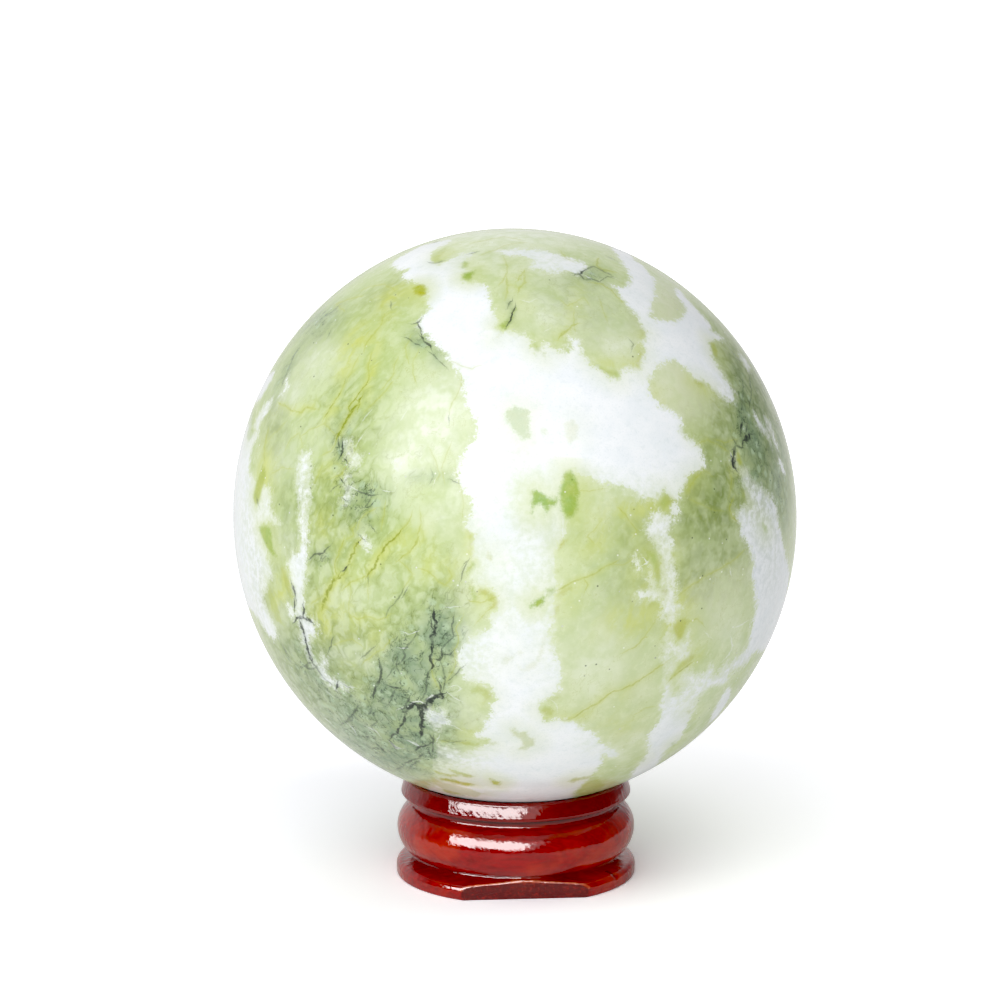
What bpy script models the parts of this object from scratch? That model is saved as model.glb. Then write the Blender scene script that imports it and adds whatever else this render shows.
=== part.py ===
"""Decorative sphere: a polished stone ball resting in a small turned ring stand.

Metres, +Z up. The origin is the centre of the stand's underside, on the surface it stands on.
-Y is the front, the side with the flat on the stand's base.
"""
import math

import bpy

# ---------------------------------------------------------------- driving dimensions (metres)
MM = 0.001

# Ball: ground by hand, so it is a little longer along one axis, which leans to the left.
BALL_CROSS_RADIUS = 49.41 * MM      # both radii across the long axis
BALL_LONG_RADIUS = 50.59 * MM       # radius along the long axis
BALL_LEAN = math.radians(9.4)       # the long axis leans from +Z towards -X
BALL_CENTRE_X = -0.20 * MM          # the leaning ball settles a little to the left in its seat
BALL_CENTRE_Z = 64.50 * MM
BALL_SEGMENTS = 56
BALL_RINGS = 28

SEAT_GAP = 0.30 * MM                # clearance between the ball and the seat

# Stand: radii from the axis, heights from the underside.
STAND_STEPS = 64                    # facets round the stand

LIP_RADIUS = 20.38 * MM             # top lip, at its widest
LIP_WIDEST_Z = 15.60 * MM
LIP_UPPER = (1.90 * MM, 2.40 * MM)  # the lip's upper quarter: depth in, height up
LIP_LOWER = (3.00 * MM, 2.45 * MM)  # the lip's underside: depth in, height down
RIM_RADIUS = 19.42 * MM             # edge where the lip meets the seat

NECK_RADIUS = 17.90 * MM            # groove between the lip and the bead

BEAD_RADIUS = 21.05 * MM            # fat middle bead, at its widest
BEAD_WIDEST_Z = 8.50 * MM
BEAD_UPPER = (5.50 * MM, 5.00 * MM)
BEAD_LOWER = (4.50 * MM, 5.10 * MM)

WAIST_RADIUS = 17.32 * MM           # groove between the bead and the base flange

FLANGE_RADIUS = 21.20 * MM
FLANGE_TOP_INNER_Z = 3.06 * MM      # the flange's top falls outwards from the groove
SHOULDER_RADIUS = 20.00 * MM        # where the flange's rounded shoulder begins
SHOULDER_Z = 1.40 * MM
SHOULDER = (1.20 * MM, 1.23 * MM)
FOOT_CHAMFER = 0.15 * MM

BORE_RADIUS = 13.00 * MM            # open middle of the ring
BORE_CHAMFER = 0.40 * MM
SEAT_SLOPE = math.radians(29.0)     # the bevel that the ball rests against
SEAT_INNER_RADIUS = 13.90 * MM

FLAT_DISTANCE = 18.00 * MM          # flat on the front of the flange, from the axis
FLAT_TURN = math.radians(5.0)       # the flat faces a little to the right of the front
FLAT_TOP_Z = 3.30 * MM              # the cut ends in the groove, under the bead


# ---------------------------------------------------------------- helpers
def clear_scene():
    for ob in list(bpy.data.objects):
        bpy.data.objects.remove(ob, do_unlink=True)
    for col in list(bpy.data.collections):
        bpy.data.collections.remove(col)


def collection(name):
    col = bpy.data.collections.new(name)
    bpy.context.scene.collection.children.link(col)
    return col


def put_in(ob, col):
    for other in list(ob.users_collection):
        other.objects.unlink(ob)
    col.objects.link(ob)


def material(name, colour, roughness, metallic=0.0, coat=0.0):
    mat = bpy.data.materials.new(name)
    mat.use_nodes = True
    bsdf = mat.node_tree.nodes["Principled BSDF"]
    bsdf.inputs["Base Color"].default_value = (*colour, 1.0)
    bsdf.inputs["Roughness"].default_value = roughness
    bsdf.inputs["Metallic"].default_value = metallic
    bsdf.inputs["Coat Weight"].default_value = coat
    mat.diffuse_color = (*colour, 1.0)
    return mat


def elliptic_arc(centre_r, centre_z, size, start, end, steps):
    """Points (r, z) on an ellipse. Angles run from +r towards +z, in radians."""
    a, b = size
    return [
        (
            centre_r + a * math.cos(start + (end - start) * i / steps),
            centre_z + b * math.sin(start + (end - start) * i / steps),
        )
        for i in range(steps + 1)
    ]


def stand_profile():
    """The ring's closed section, from the rim down its outer side, along the underside and up the bore."""
    pts = []

    # top lip: upper quarter from the rim edge down to its widest, then the underside back to the neck
    lip_in = LIP_RADIUS - LIP_UPPER[0]
    rim_angle = math.acos((RIM_RADIUS - lip_in) / LIP_UPPER[0])
    pts += elliptic_arc(lip_in, LIP_WIDEST_Z, LIP_UPPER, rim_angle, 0.0, 5)
    lip_in = LIP_RADIUS - LIP_LOWER[0]
    neck_angle = -math.acos((NECK_RADIUS - lip_in) / LIP_LOWER[0])
    pts += elliptic_arc(lip_in, LIP_WIDEST_Z, LIP_LOWER, 0.0, neck_angle, 6)[1:]

    # middle bead: upper half from the neck, lower half to the waist
    bead_in = BEAD_RADIUS - BEAD_UPPER[0]
    top_angle = math.acos((NECK_RADIUS - bead_in) / BEAD_UPPER[0])
    pts += elliptic_arc(bead_in, BEAD_WIDEST_Z, BEAD_UPPER, top_angle, 0.0, 6)
    bead_in = BEAD_RADIUS - BEAD_LOWER[0]
    low_angle = -math.acos((WAIST_RADIUS - bead_in) / BEAD_LOWER[0])
    pts += elliptic_arc(bead_in, BEAD_WIDEST_Z, BEAD_LOWER, 0.0, low_angle, 7)[1:]

    # base flange: sloping top, rounded shoulder, upright side, tiny foot chamfer
    pts.append((WAIST_RADIUS, FLANGE_TOP_INNER_Z))
    pts += elliptic_arc(SHOULDER_RADIUS, SHOULDER_Z, SHOULDER, math.pi / 2, 0.0, 4)
    pts.append((FLANGE_RADIUS, FOOT_CHAMFER))
    pts.append((FLANGE_RADIUS - FOOT_CHAMFER, 0.0))

    # underside, bore and seat
    rim_z = pts[0][1]
    seat_inner_z = rim_z - (RIM_RADIUS - SEAT_INNER_RADIUS) * math.tan(SEAT_SLOPE)
    pts.append((BORE_RADIUS + BORE_CHAMFER, 0.0))
    pts.append((BORE_RADIUS, BORE_CHAMFER))
    pts.append((BORE_RADIUS, seat_inner_z - (SEAT_INNER_RADIUS - BORE_RADIUS)))
    pts.append((SEAT_INNER_RADIUS, seat_inner_z))
    return pts


# ---------------------------------------------------------------- the two pieces
def make_ball(col, parent):
    bpy.ops.mesh.primitive_uv_sphere_add(
        segments=BALL_SEGMENTS, ring_count=BALL_RINGS, radius=1.0, location=(0, 0, 0)
    )
    ball = bpy.context.object
    ball.name = ball.data.name = "stone_sphere"
    ball.scale = (BALL_CROSS_RADIUS, BALL_CROSS_RADIUS, BALL_LONG_RADIUS)
    bpy.ops.object.transform_apply(location=False, rotation=False, scale=True)
    ball.data.shade_smooth()
    ball.data.materials.append(material("polished_stone", (0.62, 0.68, 0.50), 0.12, coat=0.6))
    put_in(ball, col)
    ball.parent = parent
    ball.location = (BALL_CENTRE_X, 0.0, BALL_CENTRE_Z)
    ball.rotation_euler = (0.0, -BALL_LEAN, 0.0)
    return ball


def make_flat_cutter(col):
    """A block whose inner face is the flat's plane."""
    width, depth, foot = 60 * MM, 20 * MM, 5 * MM
    bpy.ops.mesh.primitive_cube_add(size=1.0, location=(0, 0, 0))
    block = bpy.context.object
    block.name = block.data.name = "flat_cutter"
    block.scale = (width, depth, FLAT_TOP_Z + foot)
    bpy.ops.object.transform_apply(location=False, rotation=False, scale=True)
    reach = FLAT_DISTANCE + depth / 2
    block.location = (
        reach * math.sin(FLAT_TURN),
        -reach * math.cos(FLAT_TURN),
        (FLAT_TOP_Z - foot) / 2,
    )
    block.rotation_euler = (0.0, 0.0, FLAT_TURN)
    block.display_type = "WIRE"
    block.hide_render = True
    put_in(block, col)
    return block


def make_stand(col, cutter, parent):
    pts = stand_profile()
    mesh = bpy.data.meshes.new("ring_stand")
    verts = [(r, 0.0, z) for r, z in pts]
    edges = [(i, (i + 1) % len(verts)) for i in range(len(verts))]
    mesh.from_pydata(verts, edges, [])
    stand = bpy.data.objects.new("ring_stand", mesh)
    col.objects.link(stand)
    stand.parent = parent

    screw = stand.modifiers.new("turned", "SCREW")
    screw.axis = "Z"
    screw.angle = math.tau
    screw.steps = screw.render_steps = STAND_STEPS
    screw.screw_offset = 0.0
    screw.use_merge_vertices = True
    screw.merge_threshold = 0.00001
    screw.use_smooth_shade = True

    cut = stand.modifiers.new("front_flat", "BOOLEAN")
    cut.operation = "DIFFERENCE"
    cut.solver = "EXACT"
    cut.object = cutter

    stand.data.materials.append(material("red_lacquered_wood", (0.33, 0.012, 0.008), 0.2, coat=1.0))
    return stand


def main():
    clear_scene()
    model = collection("decorative_sphere")
    cutters = collection("cutters")

    origin = bpy.data.objects.new("decorative_sphere_origin", None)
    origin.empty_display_size = 0.01
    model.objects.link(origin)

    make_ball(model, origin)
    cutter = make_flat_cutter(cutters)
    make_stand(model, cutter, origin)
    bpy.context.view_layer.update()


main()
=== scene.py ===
import math

import bpy
import numpy as np
from mathutils import Matrix, Vector


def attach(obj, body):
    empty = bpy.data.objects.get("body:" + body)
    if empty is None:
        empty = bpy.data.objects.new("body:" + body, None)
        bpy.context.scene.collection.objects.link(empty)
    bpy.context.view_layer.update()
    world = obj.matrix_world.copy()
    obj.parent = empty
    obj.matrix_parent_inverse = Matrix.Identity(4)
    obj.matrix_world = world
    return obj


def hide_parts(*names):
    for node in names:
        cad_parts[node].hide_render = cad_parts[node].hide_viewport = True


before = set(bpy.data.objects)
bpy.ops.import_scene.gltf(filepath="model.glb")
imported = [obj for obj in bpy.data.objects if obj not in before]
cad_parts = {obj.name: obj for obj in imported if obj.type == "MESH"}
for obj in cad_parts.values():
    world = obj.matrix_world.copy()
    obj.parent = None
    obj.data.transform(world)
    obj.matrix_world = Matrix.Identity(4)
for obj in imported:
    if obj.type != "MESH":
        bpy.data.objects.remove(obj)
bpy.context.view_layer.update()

MM = 0.001
BALL_CENTRE = Vector((-0.20, 0.0, 64.5)) * MM
BALL_CROSS, BALL_LONG, BALL_LEAN = 49.41, 50.59, math.radians(9.4)

# ============================================================ camera
LENS_PX = 5707.0
VIEW_DOWN = math.radians(13.35)
FRAME_PX = 1000
AIM = Vector((0.0, 0.0, 64.5)) * MM
AIM_PX = (516.0, 516.2)

to_cam = Vector((0.0, -math.cos(VIEW_DOWN), math.sin(VIEW_DOWN)))
cam_up = Vector((0.0, math.sin(VIEW_DOWN), math.cos(VIEW_DOWN)))
cam_right = Vector((1.0, 0.0, 0.0))
look = (
    -to_cam
    - cam_right * ((AIM_PX[0] - FRAME_PX / 2) / LENS_PX)
    + cam_up * ((AIM_PX[1] - FRAME_PX / 2) / LENS_PX)
).normalized()

cam_data = bpy.data.cameras.new("camera")
cam_data.sensor_width = 36.0
cam_data.lens = LENS_PX * 36.0 / FRAME_PX
cam_data.clip_start, cam_data.clip_end = 0.01, 50.0
cam = bpy.data.objects.new("camera", cam_data)
bpy.context.scene.collection.objects.link(cam)
cam.location = AIM + to_cam * 1.0
cam.rotation_mode = "QUATERNION"
side = look.cross(Vector((0, 0, 1))).normalized()
top = side.cross(look).normalized()
cam.rotation_quaternion = Matrix((side, top, -look)).transposed().to_quaternion()
bpy.context.scene.camera = cam


# ============================================================ small node helper
class Nodes:
    """Builds a node tree by short calls. Every call returns an output socket."""

    def __init__(self, tree):
        self.t = tree

    def new(self, kind, **props):
        n = self.t.nodes.new(kind)
        for k, v in props.items():
            setattr(n, k, v)
        return n

    def put(self, socket, value):
        if isinstance(value, bpy.types.NodeSocket):
            self.t.links.new(value, socket)
        elif value is not None:
            if hasattr(socket.default_value, "__len__") and not hasattr(value, "__len__"):
                value = (value,) * len(socket.default_value)
            socket.default_value = value

    def math(self, op, a, b=None, c=None, clamp=False):
        n = self.new("ShaderNodeMath", operation=op, use_clamp=clamp)
        for i, v in enumerate((a, b, c)):
            if v is not None:
                self.put(n.inputs[i], v)
        return n.outputs[0]

    def add(self, *v):
        out = v[0]
        for x in v[1:]:
            out = self.math("ADD", out, x)
        return out

    def mul(self, *v):
        out = v[0]
        for x in v[1:]:
            out = self.math("MULTIPLY", out, x)
        return out

    def sub(self, a, b):
        return self.math("SUBTRACT", a, b)

    def vec(self, op, a, b=None, scale=None):
        n = self.new("ShaderNodeVectorMath", operation=op)
        self.put(n.inputs[0], a)
        if b is not None:
            self.put(n.inputs[1], b)
        if scale is not None:
            self.put(n.inputs["Scale"], scale)
        return n.outputs[0]

    def ramp(self, x, lo, hi, a=0.0, b=1.0, smooth=True):
        n = self.new("ShaderNodeMapRange", interpolation_type="SMOOTHSTEP" if smooth else "LINEAR")
        for s, v in zip(("Value", "From Min", "From Max", "To Min", "To Max"), (x, lo, hi, a, b)):
            self.put(n.inputs[s], v)
        return n.outputs[0]

    def noise(self, p, scale, detail=2.0, rough=0.5, distortion=0.0, lacunarity=2.0):
        n = self.new("ShaderNodeTexNoise", noise_dimensions="3D")
        self.put(n.inputs["Vector"], p)
        for s, v in (("Scale", scale), ("Detail", detail), ("Roughness", rough), ("Distortion", distortion), ("Lacunarity", lacunarity)):
            self.put(n.inputs[s], v)
        return n.outputs[0], n.outputs[1]

    def voronoi(self, p, scale, feature="F1", randomness=1.0, out="Distance"):
        n = self.new("ShaderNodeTexVoronoi", feature=feature, voronoi_dimensions="3D")
        self.put(n.inputs["Vector"], p)
        self.put(n.inputs["Scale"], scale)
        self.put(n.inputs["Randomness"], randomness)
        return n.outputs[out]

    def attr(self, name):
        n = self.new("ShaderNodeAttribute", attribute_name=name, attribute_type="GEOMETRY")
        return n.outputs["Fac"]

    def mix(self, f, a, b, blend="MIX"):
        n = self.new("ShaderNodeMix", data_type="RGBA", blend_type=blend)
        self.put(n.inputs[0], f)
        for s, v in ((n.inputs[6], a), (n.inputs[7], b)):
            self.put(s, (*v, 1.0) if isinstance(v, tuple) and len(v) == 3 else v)
        return n.outputs[2]


def srgb(r, g, b):
    """A screen colour 0..255 as linear light."""
    out = []
    for c in (r, g, b):
        c /= 255.0
        out.append(c / 12.92 if c <= 0.04045 else ((c + 0.055) / 1.055) ** 2.4)
    return tuple(out)


def new_material(name):
    m = bpy.data.materials.new(name)
    m.use_nodes = True
    t = m.node_tree
    bsdf = t.nodes["Principled BSDF"]
    return m, Nodes(t), bsdf, t.nodes["Material Output"]


# ============================================================ drawing the stone's pattern
# The pattern is drawn as outlines and strokes in the photograph's frame (pixels of 1000), and laid on the ball
# by the camera's own geometry. Distances on the ball are then in millimetres.
SIL_CENTRE = (514.9, 516.2)
SIL_SHORT, SIL_LONG = 282.4, 289.1
R_OVER_D = 0.05
R = 50.0
LIMB = math.acos(R_OVER_D)


def chart_of(px, py):
    """Photo pixels to the chart: azimuthal equidistant about the camera's axis, millimetres, x right and y up."""
    px, py = np.asarray(px, float), np.asarray(py, float)
    dx, dy = px - SIL_CENTRE[0], SIL_CENTRE[1] - py
    c, s = math.cos(BALL_LEAN), math.sin(BALL_LEAN)
    # long axis points up and to the left
    along, across = -s * dx + c * dy, c * dx + s * dy
    along, across = along / SIL_LONG, across / SIL_SHORT
    x, y = c * across - s * along, s * across + c * along
    rho = np.hypot(x, y)
    inside = np.minimum(rho, 1.0)
    cos_t = np.sqrt(np.clip(1.0 - inside**2, 0, 1))
    k = math.tan(math.asin(R_OVER_D))
    for _ in range(30):
        sin_t = np.clip(inside * k / R_OVER_D * (1.0 - R_OVER_D * cos_t), 0, 1)
        cos_t = 0.5 * cos_t + 0.5 * np.sqrt(1.0 - sin_t**2)
    theta = np.arctan2(sin_t, cos_t)
    theta = np.where(rho > 1.0, LIMB + (rho - 1.0), np.minimum(theta, LIMB))
    f = theta * R / np.maximum(rho, 1e-9)
    return np.stack([x * f, y * f], -1)


def pts(text):
    """'x,y x,y ...' as an array."""
    return np.array([[float(v) for v in p.split(",")] for p in text.split()])


def seg_dist(p, a, b):
    """Distance from points p to the segment a-b, signed side, and the share along it."""
    d = b - a
    n = float(d @ d) + 1e-12
    v = p - a
    t = np.clip((v @ d) / n, 0.0, 1.0)
    q = v - t[:, None] * d
    return np.hypot(q[:, 0], q[:, 1]), d[0] * v[:, 1] - d[1] * v[:, 0], t


def polygon_sdf(p, poly):
    """Signed distance to a closed outline, positive inside."""
    dist = np.full(len(p), 1e9)
    inside = np.zeros(len(p), bool)
    x, y = p[:, 0], p[:, 1]
    for i in range(len(poly)):
        a, b = poly[i - 1], poly[i]
        d, _, _ = seg_dist(p, a, b)
        dist = np.minimum(dist, d)
        if a[1] != b[1]:
            hit = ((a[1] > y) != (b[1] > y)) & (x < (b[0] - a[0]) * (y - a[1]) / (b[1] - a[1]) + a[0])
            inside ^= hit
    return np.where(inside, dist, -dist)


def union_sdf(p, polys, floor=-12.0, pad=8.0):
    out = np.full(len(p), floor)
    for poly in polys:
        lo, hi = poly.min(0) - pad, poly.max(0) + pad
        near = np.all((p > lo) & (p < hi), axis=1)
        if near.any():
            out[near] = np.maximum(out[near], polygon_sdf(p[near], poly))
    return out


WHITE = [
    # upper-left band, running into the big white heart and down its left side
    "391,264 396,259 404,254 412,250 420,246 430,243 442,240 452,239 446,244 438,248 431,252 430,258 432,263 440,263"
    " 446,260 452,257 460,254 469,253 473,252 470,257 465,260 462,264 462,268 467,270 470,271 463,273 461,277 464,281"
    " 470,283 478,283 487,284 486,290 488,298 491,306 495,314 498,321 498,327 502,331 508,331 516,333 526,337 531,341"
    " 531,346 535,352 541,348 544,343 548,345 553,349 560,352 568,352 573,348 571,342 568,338 576,338 580,343 581,351"
    " 584,356 590,361 596,367 602,371 606,376 612,378 619,379 622,372 629,369 637,370 641,370 642,362 645,352 642,343"
    " 648,334 660,338 668,360 660,361 656,370 652,377 648,382 649,388 652,396 657,401 661,407 668,410 676,414 682,420"
    " 682,432 686,438 694,441 700,446 702,452 704,459 706,466 700,470 694,474 690,478 686,486 683,494 681,500 680,510"
    " 678,519 673,516 672,508 676,502 671,498 666,493 660,497 652,500 645,499 638,495 630,490 620,487 610,486 600,483"
    " 590,479 581,477 574,474 566,474 564,482 562,492 562,500 564,510 565,518 564,530 562,538 558,546 554,552 554,560"
    " 556,566 553,573 556,580 558,588 556,596 556,606 555,616 552,626 552,640 555,655 560,665 561,680 560,692 556,697"
    " 548,700 541,705 539,712 545,718 548,722 556,721 566,723 576,725 586,731 594,735 600,739 602,746 606,756 602,765"
    " 597,774 590,779 582,786 576,792 572,800 570,816 500,820 440,812 426,806 423,797 429,788 436,780 433,770 436,761"
    " 441,758 438,753 440,747 450,749 462,755 474,752 481,747 488,745 490,740 480,741 476,737 484,730"
    " 490,720 490,710 494,701 493,690 481,684 470,683 465,680 462,673 458,665 458,655 462,648 470,640 476,638 484,633"
    " 490,625 492,616 498,610 499,603 497,595 493,589 487,586 480,586 474,583 470,578 472,572 476,567 475,560 475,548"
    " 474,538 470,533 466,528 466,521 468,517 472,513 473,506 470,500 464,495 460,487 459,480 458,470 459,462 464,453"
    " 470,445 475,440 476,430 474,420 470,410 466,402 462,392 463,384 462,376 458,370 452,366 447,360 445,352 440,345"
    " 436,342 431,340 428,335 424,333 420,330 418,325 420,320 424,316 428,312 430,307 428,300 426,296 427,290 424,286"
    " 420,286 415,283 410,281 404,279 404,274 408,269 402,270 396,268",
    # upper-right band from the limb to its tip
    "612,284 620,287 626,287 630,282 631,276 627,268 621,260 615,251 608,244 612,232 632,232 630,250 634,259 643,265"
    " 649,272 655,280 656,290 654,298 652,306 650,315 656,319 664,321 676,322 681,318 686,311 684,304 679,298 675,290"
    " 679,289 688,299 697,309 706,318 711,325 712,331 718,334 724,338 720,341 716,340 711,341 710,347 713,355 716,362"
    " 720,369 726,378 731,386 735,393 735,403 728,401 720,395 713,388 704,382 697,379 691,374 684,369 677,362 668,360"
    " 655,366 641,370 642,362 645,352 642,343 648,334 644,328 640,320 634,312 627,305 622,299 618,291",
    # patch near the top
    "498,251 502,253 508,255 518,255 524,256 530,259 534,262 529,267 536,269 546,272 556,272 564,270 570,271 577,273"
    " 583,272 586,268 588,265 582,262 574,259 566,257 558,255 550,252 542,250 534,249 526,250 518,249 510,249 503,250",
    # left limb band
    "222,440 232,400 247,396 252,410 251,426 250,433 256,431 258,433 256,440 252,447 250,456 249,466 248,472 253,476"
    " 255,485 253,494 254,502 258,506 259,498 261,488 264,487 269,489 270,497 270,507 273,516 279,524 271,524 264,524"
    " 259,528 259,532 263,540 267,550 268,560 271,570 272,577 268,580 268,590 264,596 262,600 268,613 275,628 277,637"
    " 272,640 264,630 258,620 252,612 247,606 240,620 226,600 220,540 219,490",
    # streaks at the left limb
    "262,378 268,374 274,372 271,380 266,389 260,399 254,404",
    "266,402 271,399 270,406 265,415 260,424 257,432 253,428 256,418 261,409",
    "288,388 284,382 287,377 286,384 282,394 279,396",
    # translucent streak, down to the dark vein
    "300,455 306,452 311,455 310,463 309,475 310,490 308,500 306,515 308,525 307,540 306,550 307,560 306,572 304,585"
    " 304,600 304,612 305,618 309,622 312,620 316,628 316,638 312,640 309,645 311,655 314,660 318,665 322,658 326,660"
    " 326,668 325,673 330,678 338,682 341,684 346,688 352,690 346,691 340,690 335,690 330,688 322,680 318,673 312,666"
    " 309,660 305,650 301,641 301,630 298,622 295,614 294,604 292,593 291,582 288,572 287,563 293,558 298,552 300,545"
    " 300,530 298,515 300,505 298,495 296,480 297,470 299,462",
    # small pale chips by the dark vein at left
    "286,604 292,608 295,616 293,621 289,614",
    "344,441 350,442 352,450 356,457 362,459 358,466 352,468 347,461 344,452",
    "342,480 347,482 351,489 350,496 346,503 342,500 345,493 343,487",
    "344,476 349,472 348,477 345,479",
    "363,540 368,545 370,549 366,550 362,545",
    "394,463 400,460 402,464 400,470 395,469",
    # milky patch beside the crack knot
    "425,715 428,709 431,712 435,711 437,714 442,713 446,717 444,721 449,724 445,728 440,729 438,734 434,731 431,727 427,723",
    # right limb band
    "736,452 741,460 744,468 749,472 752,478 757,484 763,488 766,493 772,496 776,505 778,515 781,530 784,545 787,560"
    " 790,575 788,590 785,605 790,630 776,652 766,650 758,652 753,656 749,663 743,667 736,672 730,668 724,670 718,672"
    " 722,668 730,664 736,660 742,655 748,650 751,640 753,625 756,615 757,605 756,595 754,585 753,575 754,565 752,556"
    " 750,548 747,542 744,538 741,532 742,525 738,520 737,514 742,508 748,508 752,505 748,498 745,490 742,480 741,472"
    " 735,466 731,461 734,455",
    # long streaks by the right limb
    "741,353 746,358 751,368 749,371 744,364 740,357",
    "755,413 760,420 766,428 770,436 772,446 768,440 763,432 757,424",
    "766,416 771,422 775,434 779,450 775,444 770,433 766,424",
    "780,459 784,466 786,474 782,470 779,464",
    # chips down the lower right
    "659,512 654,516 650,523 647,532 650,537 654,541 657,547 659,553 661,562 662,572 662,582 660,589 656,587 653,578"
    " 652,568 650,576 652,586 649,592 643,594 639,598 648,601 656,602 663,601 663,610 660,619 667,618 670,624 672,627"
    " 672,632 668,634 666,640 666,650 663,657 662,662 668,663 672,656 674,660 669,665 666,671 665,676 669,681 672,674"
    " 676,667 682,663 686,661 690,660 688,650 690,640 690,632 688,636 687,643 683,640 678,643 676,637 674,632 673,627"
    " 676,621 679,614 682,609 678,603 677,594 676,584 676,575 674,562 675,550 673,543 670,537 671,528 675,520 670,519"
    " 663,517",
    "637,558 639,565 642,574 639,571 636,563",
    # lower-right patch, out to the limb
    "664,682 672,682 673,690 674,697 682,692 685,685 680,684 681,678 688,669 692,675 700,676 706,673 710,668 716,668"
    " 714,676 720,677 722,670 728,667 734,664 733,671 728,678 729,682 722,686 714,688 706,692 700,698 697,705 696,712"
    " 692,718 688,724 686,730 683,737 678,744 670,749 664,755 660,761 656,768 648,778 628,790 628,782 634,772 641,764"
    " 646,756 650,748 648,742 650,736 656,728 660,720 662,710 662,700 664,690",
    "728,688 732,692 729,701 723,710 717,718 710,724 712,717 716,709 721,700",
    "600,744 606,748 614,752 620,755 614,758 606,757 601,753",
]

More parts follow.
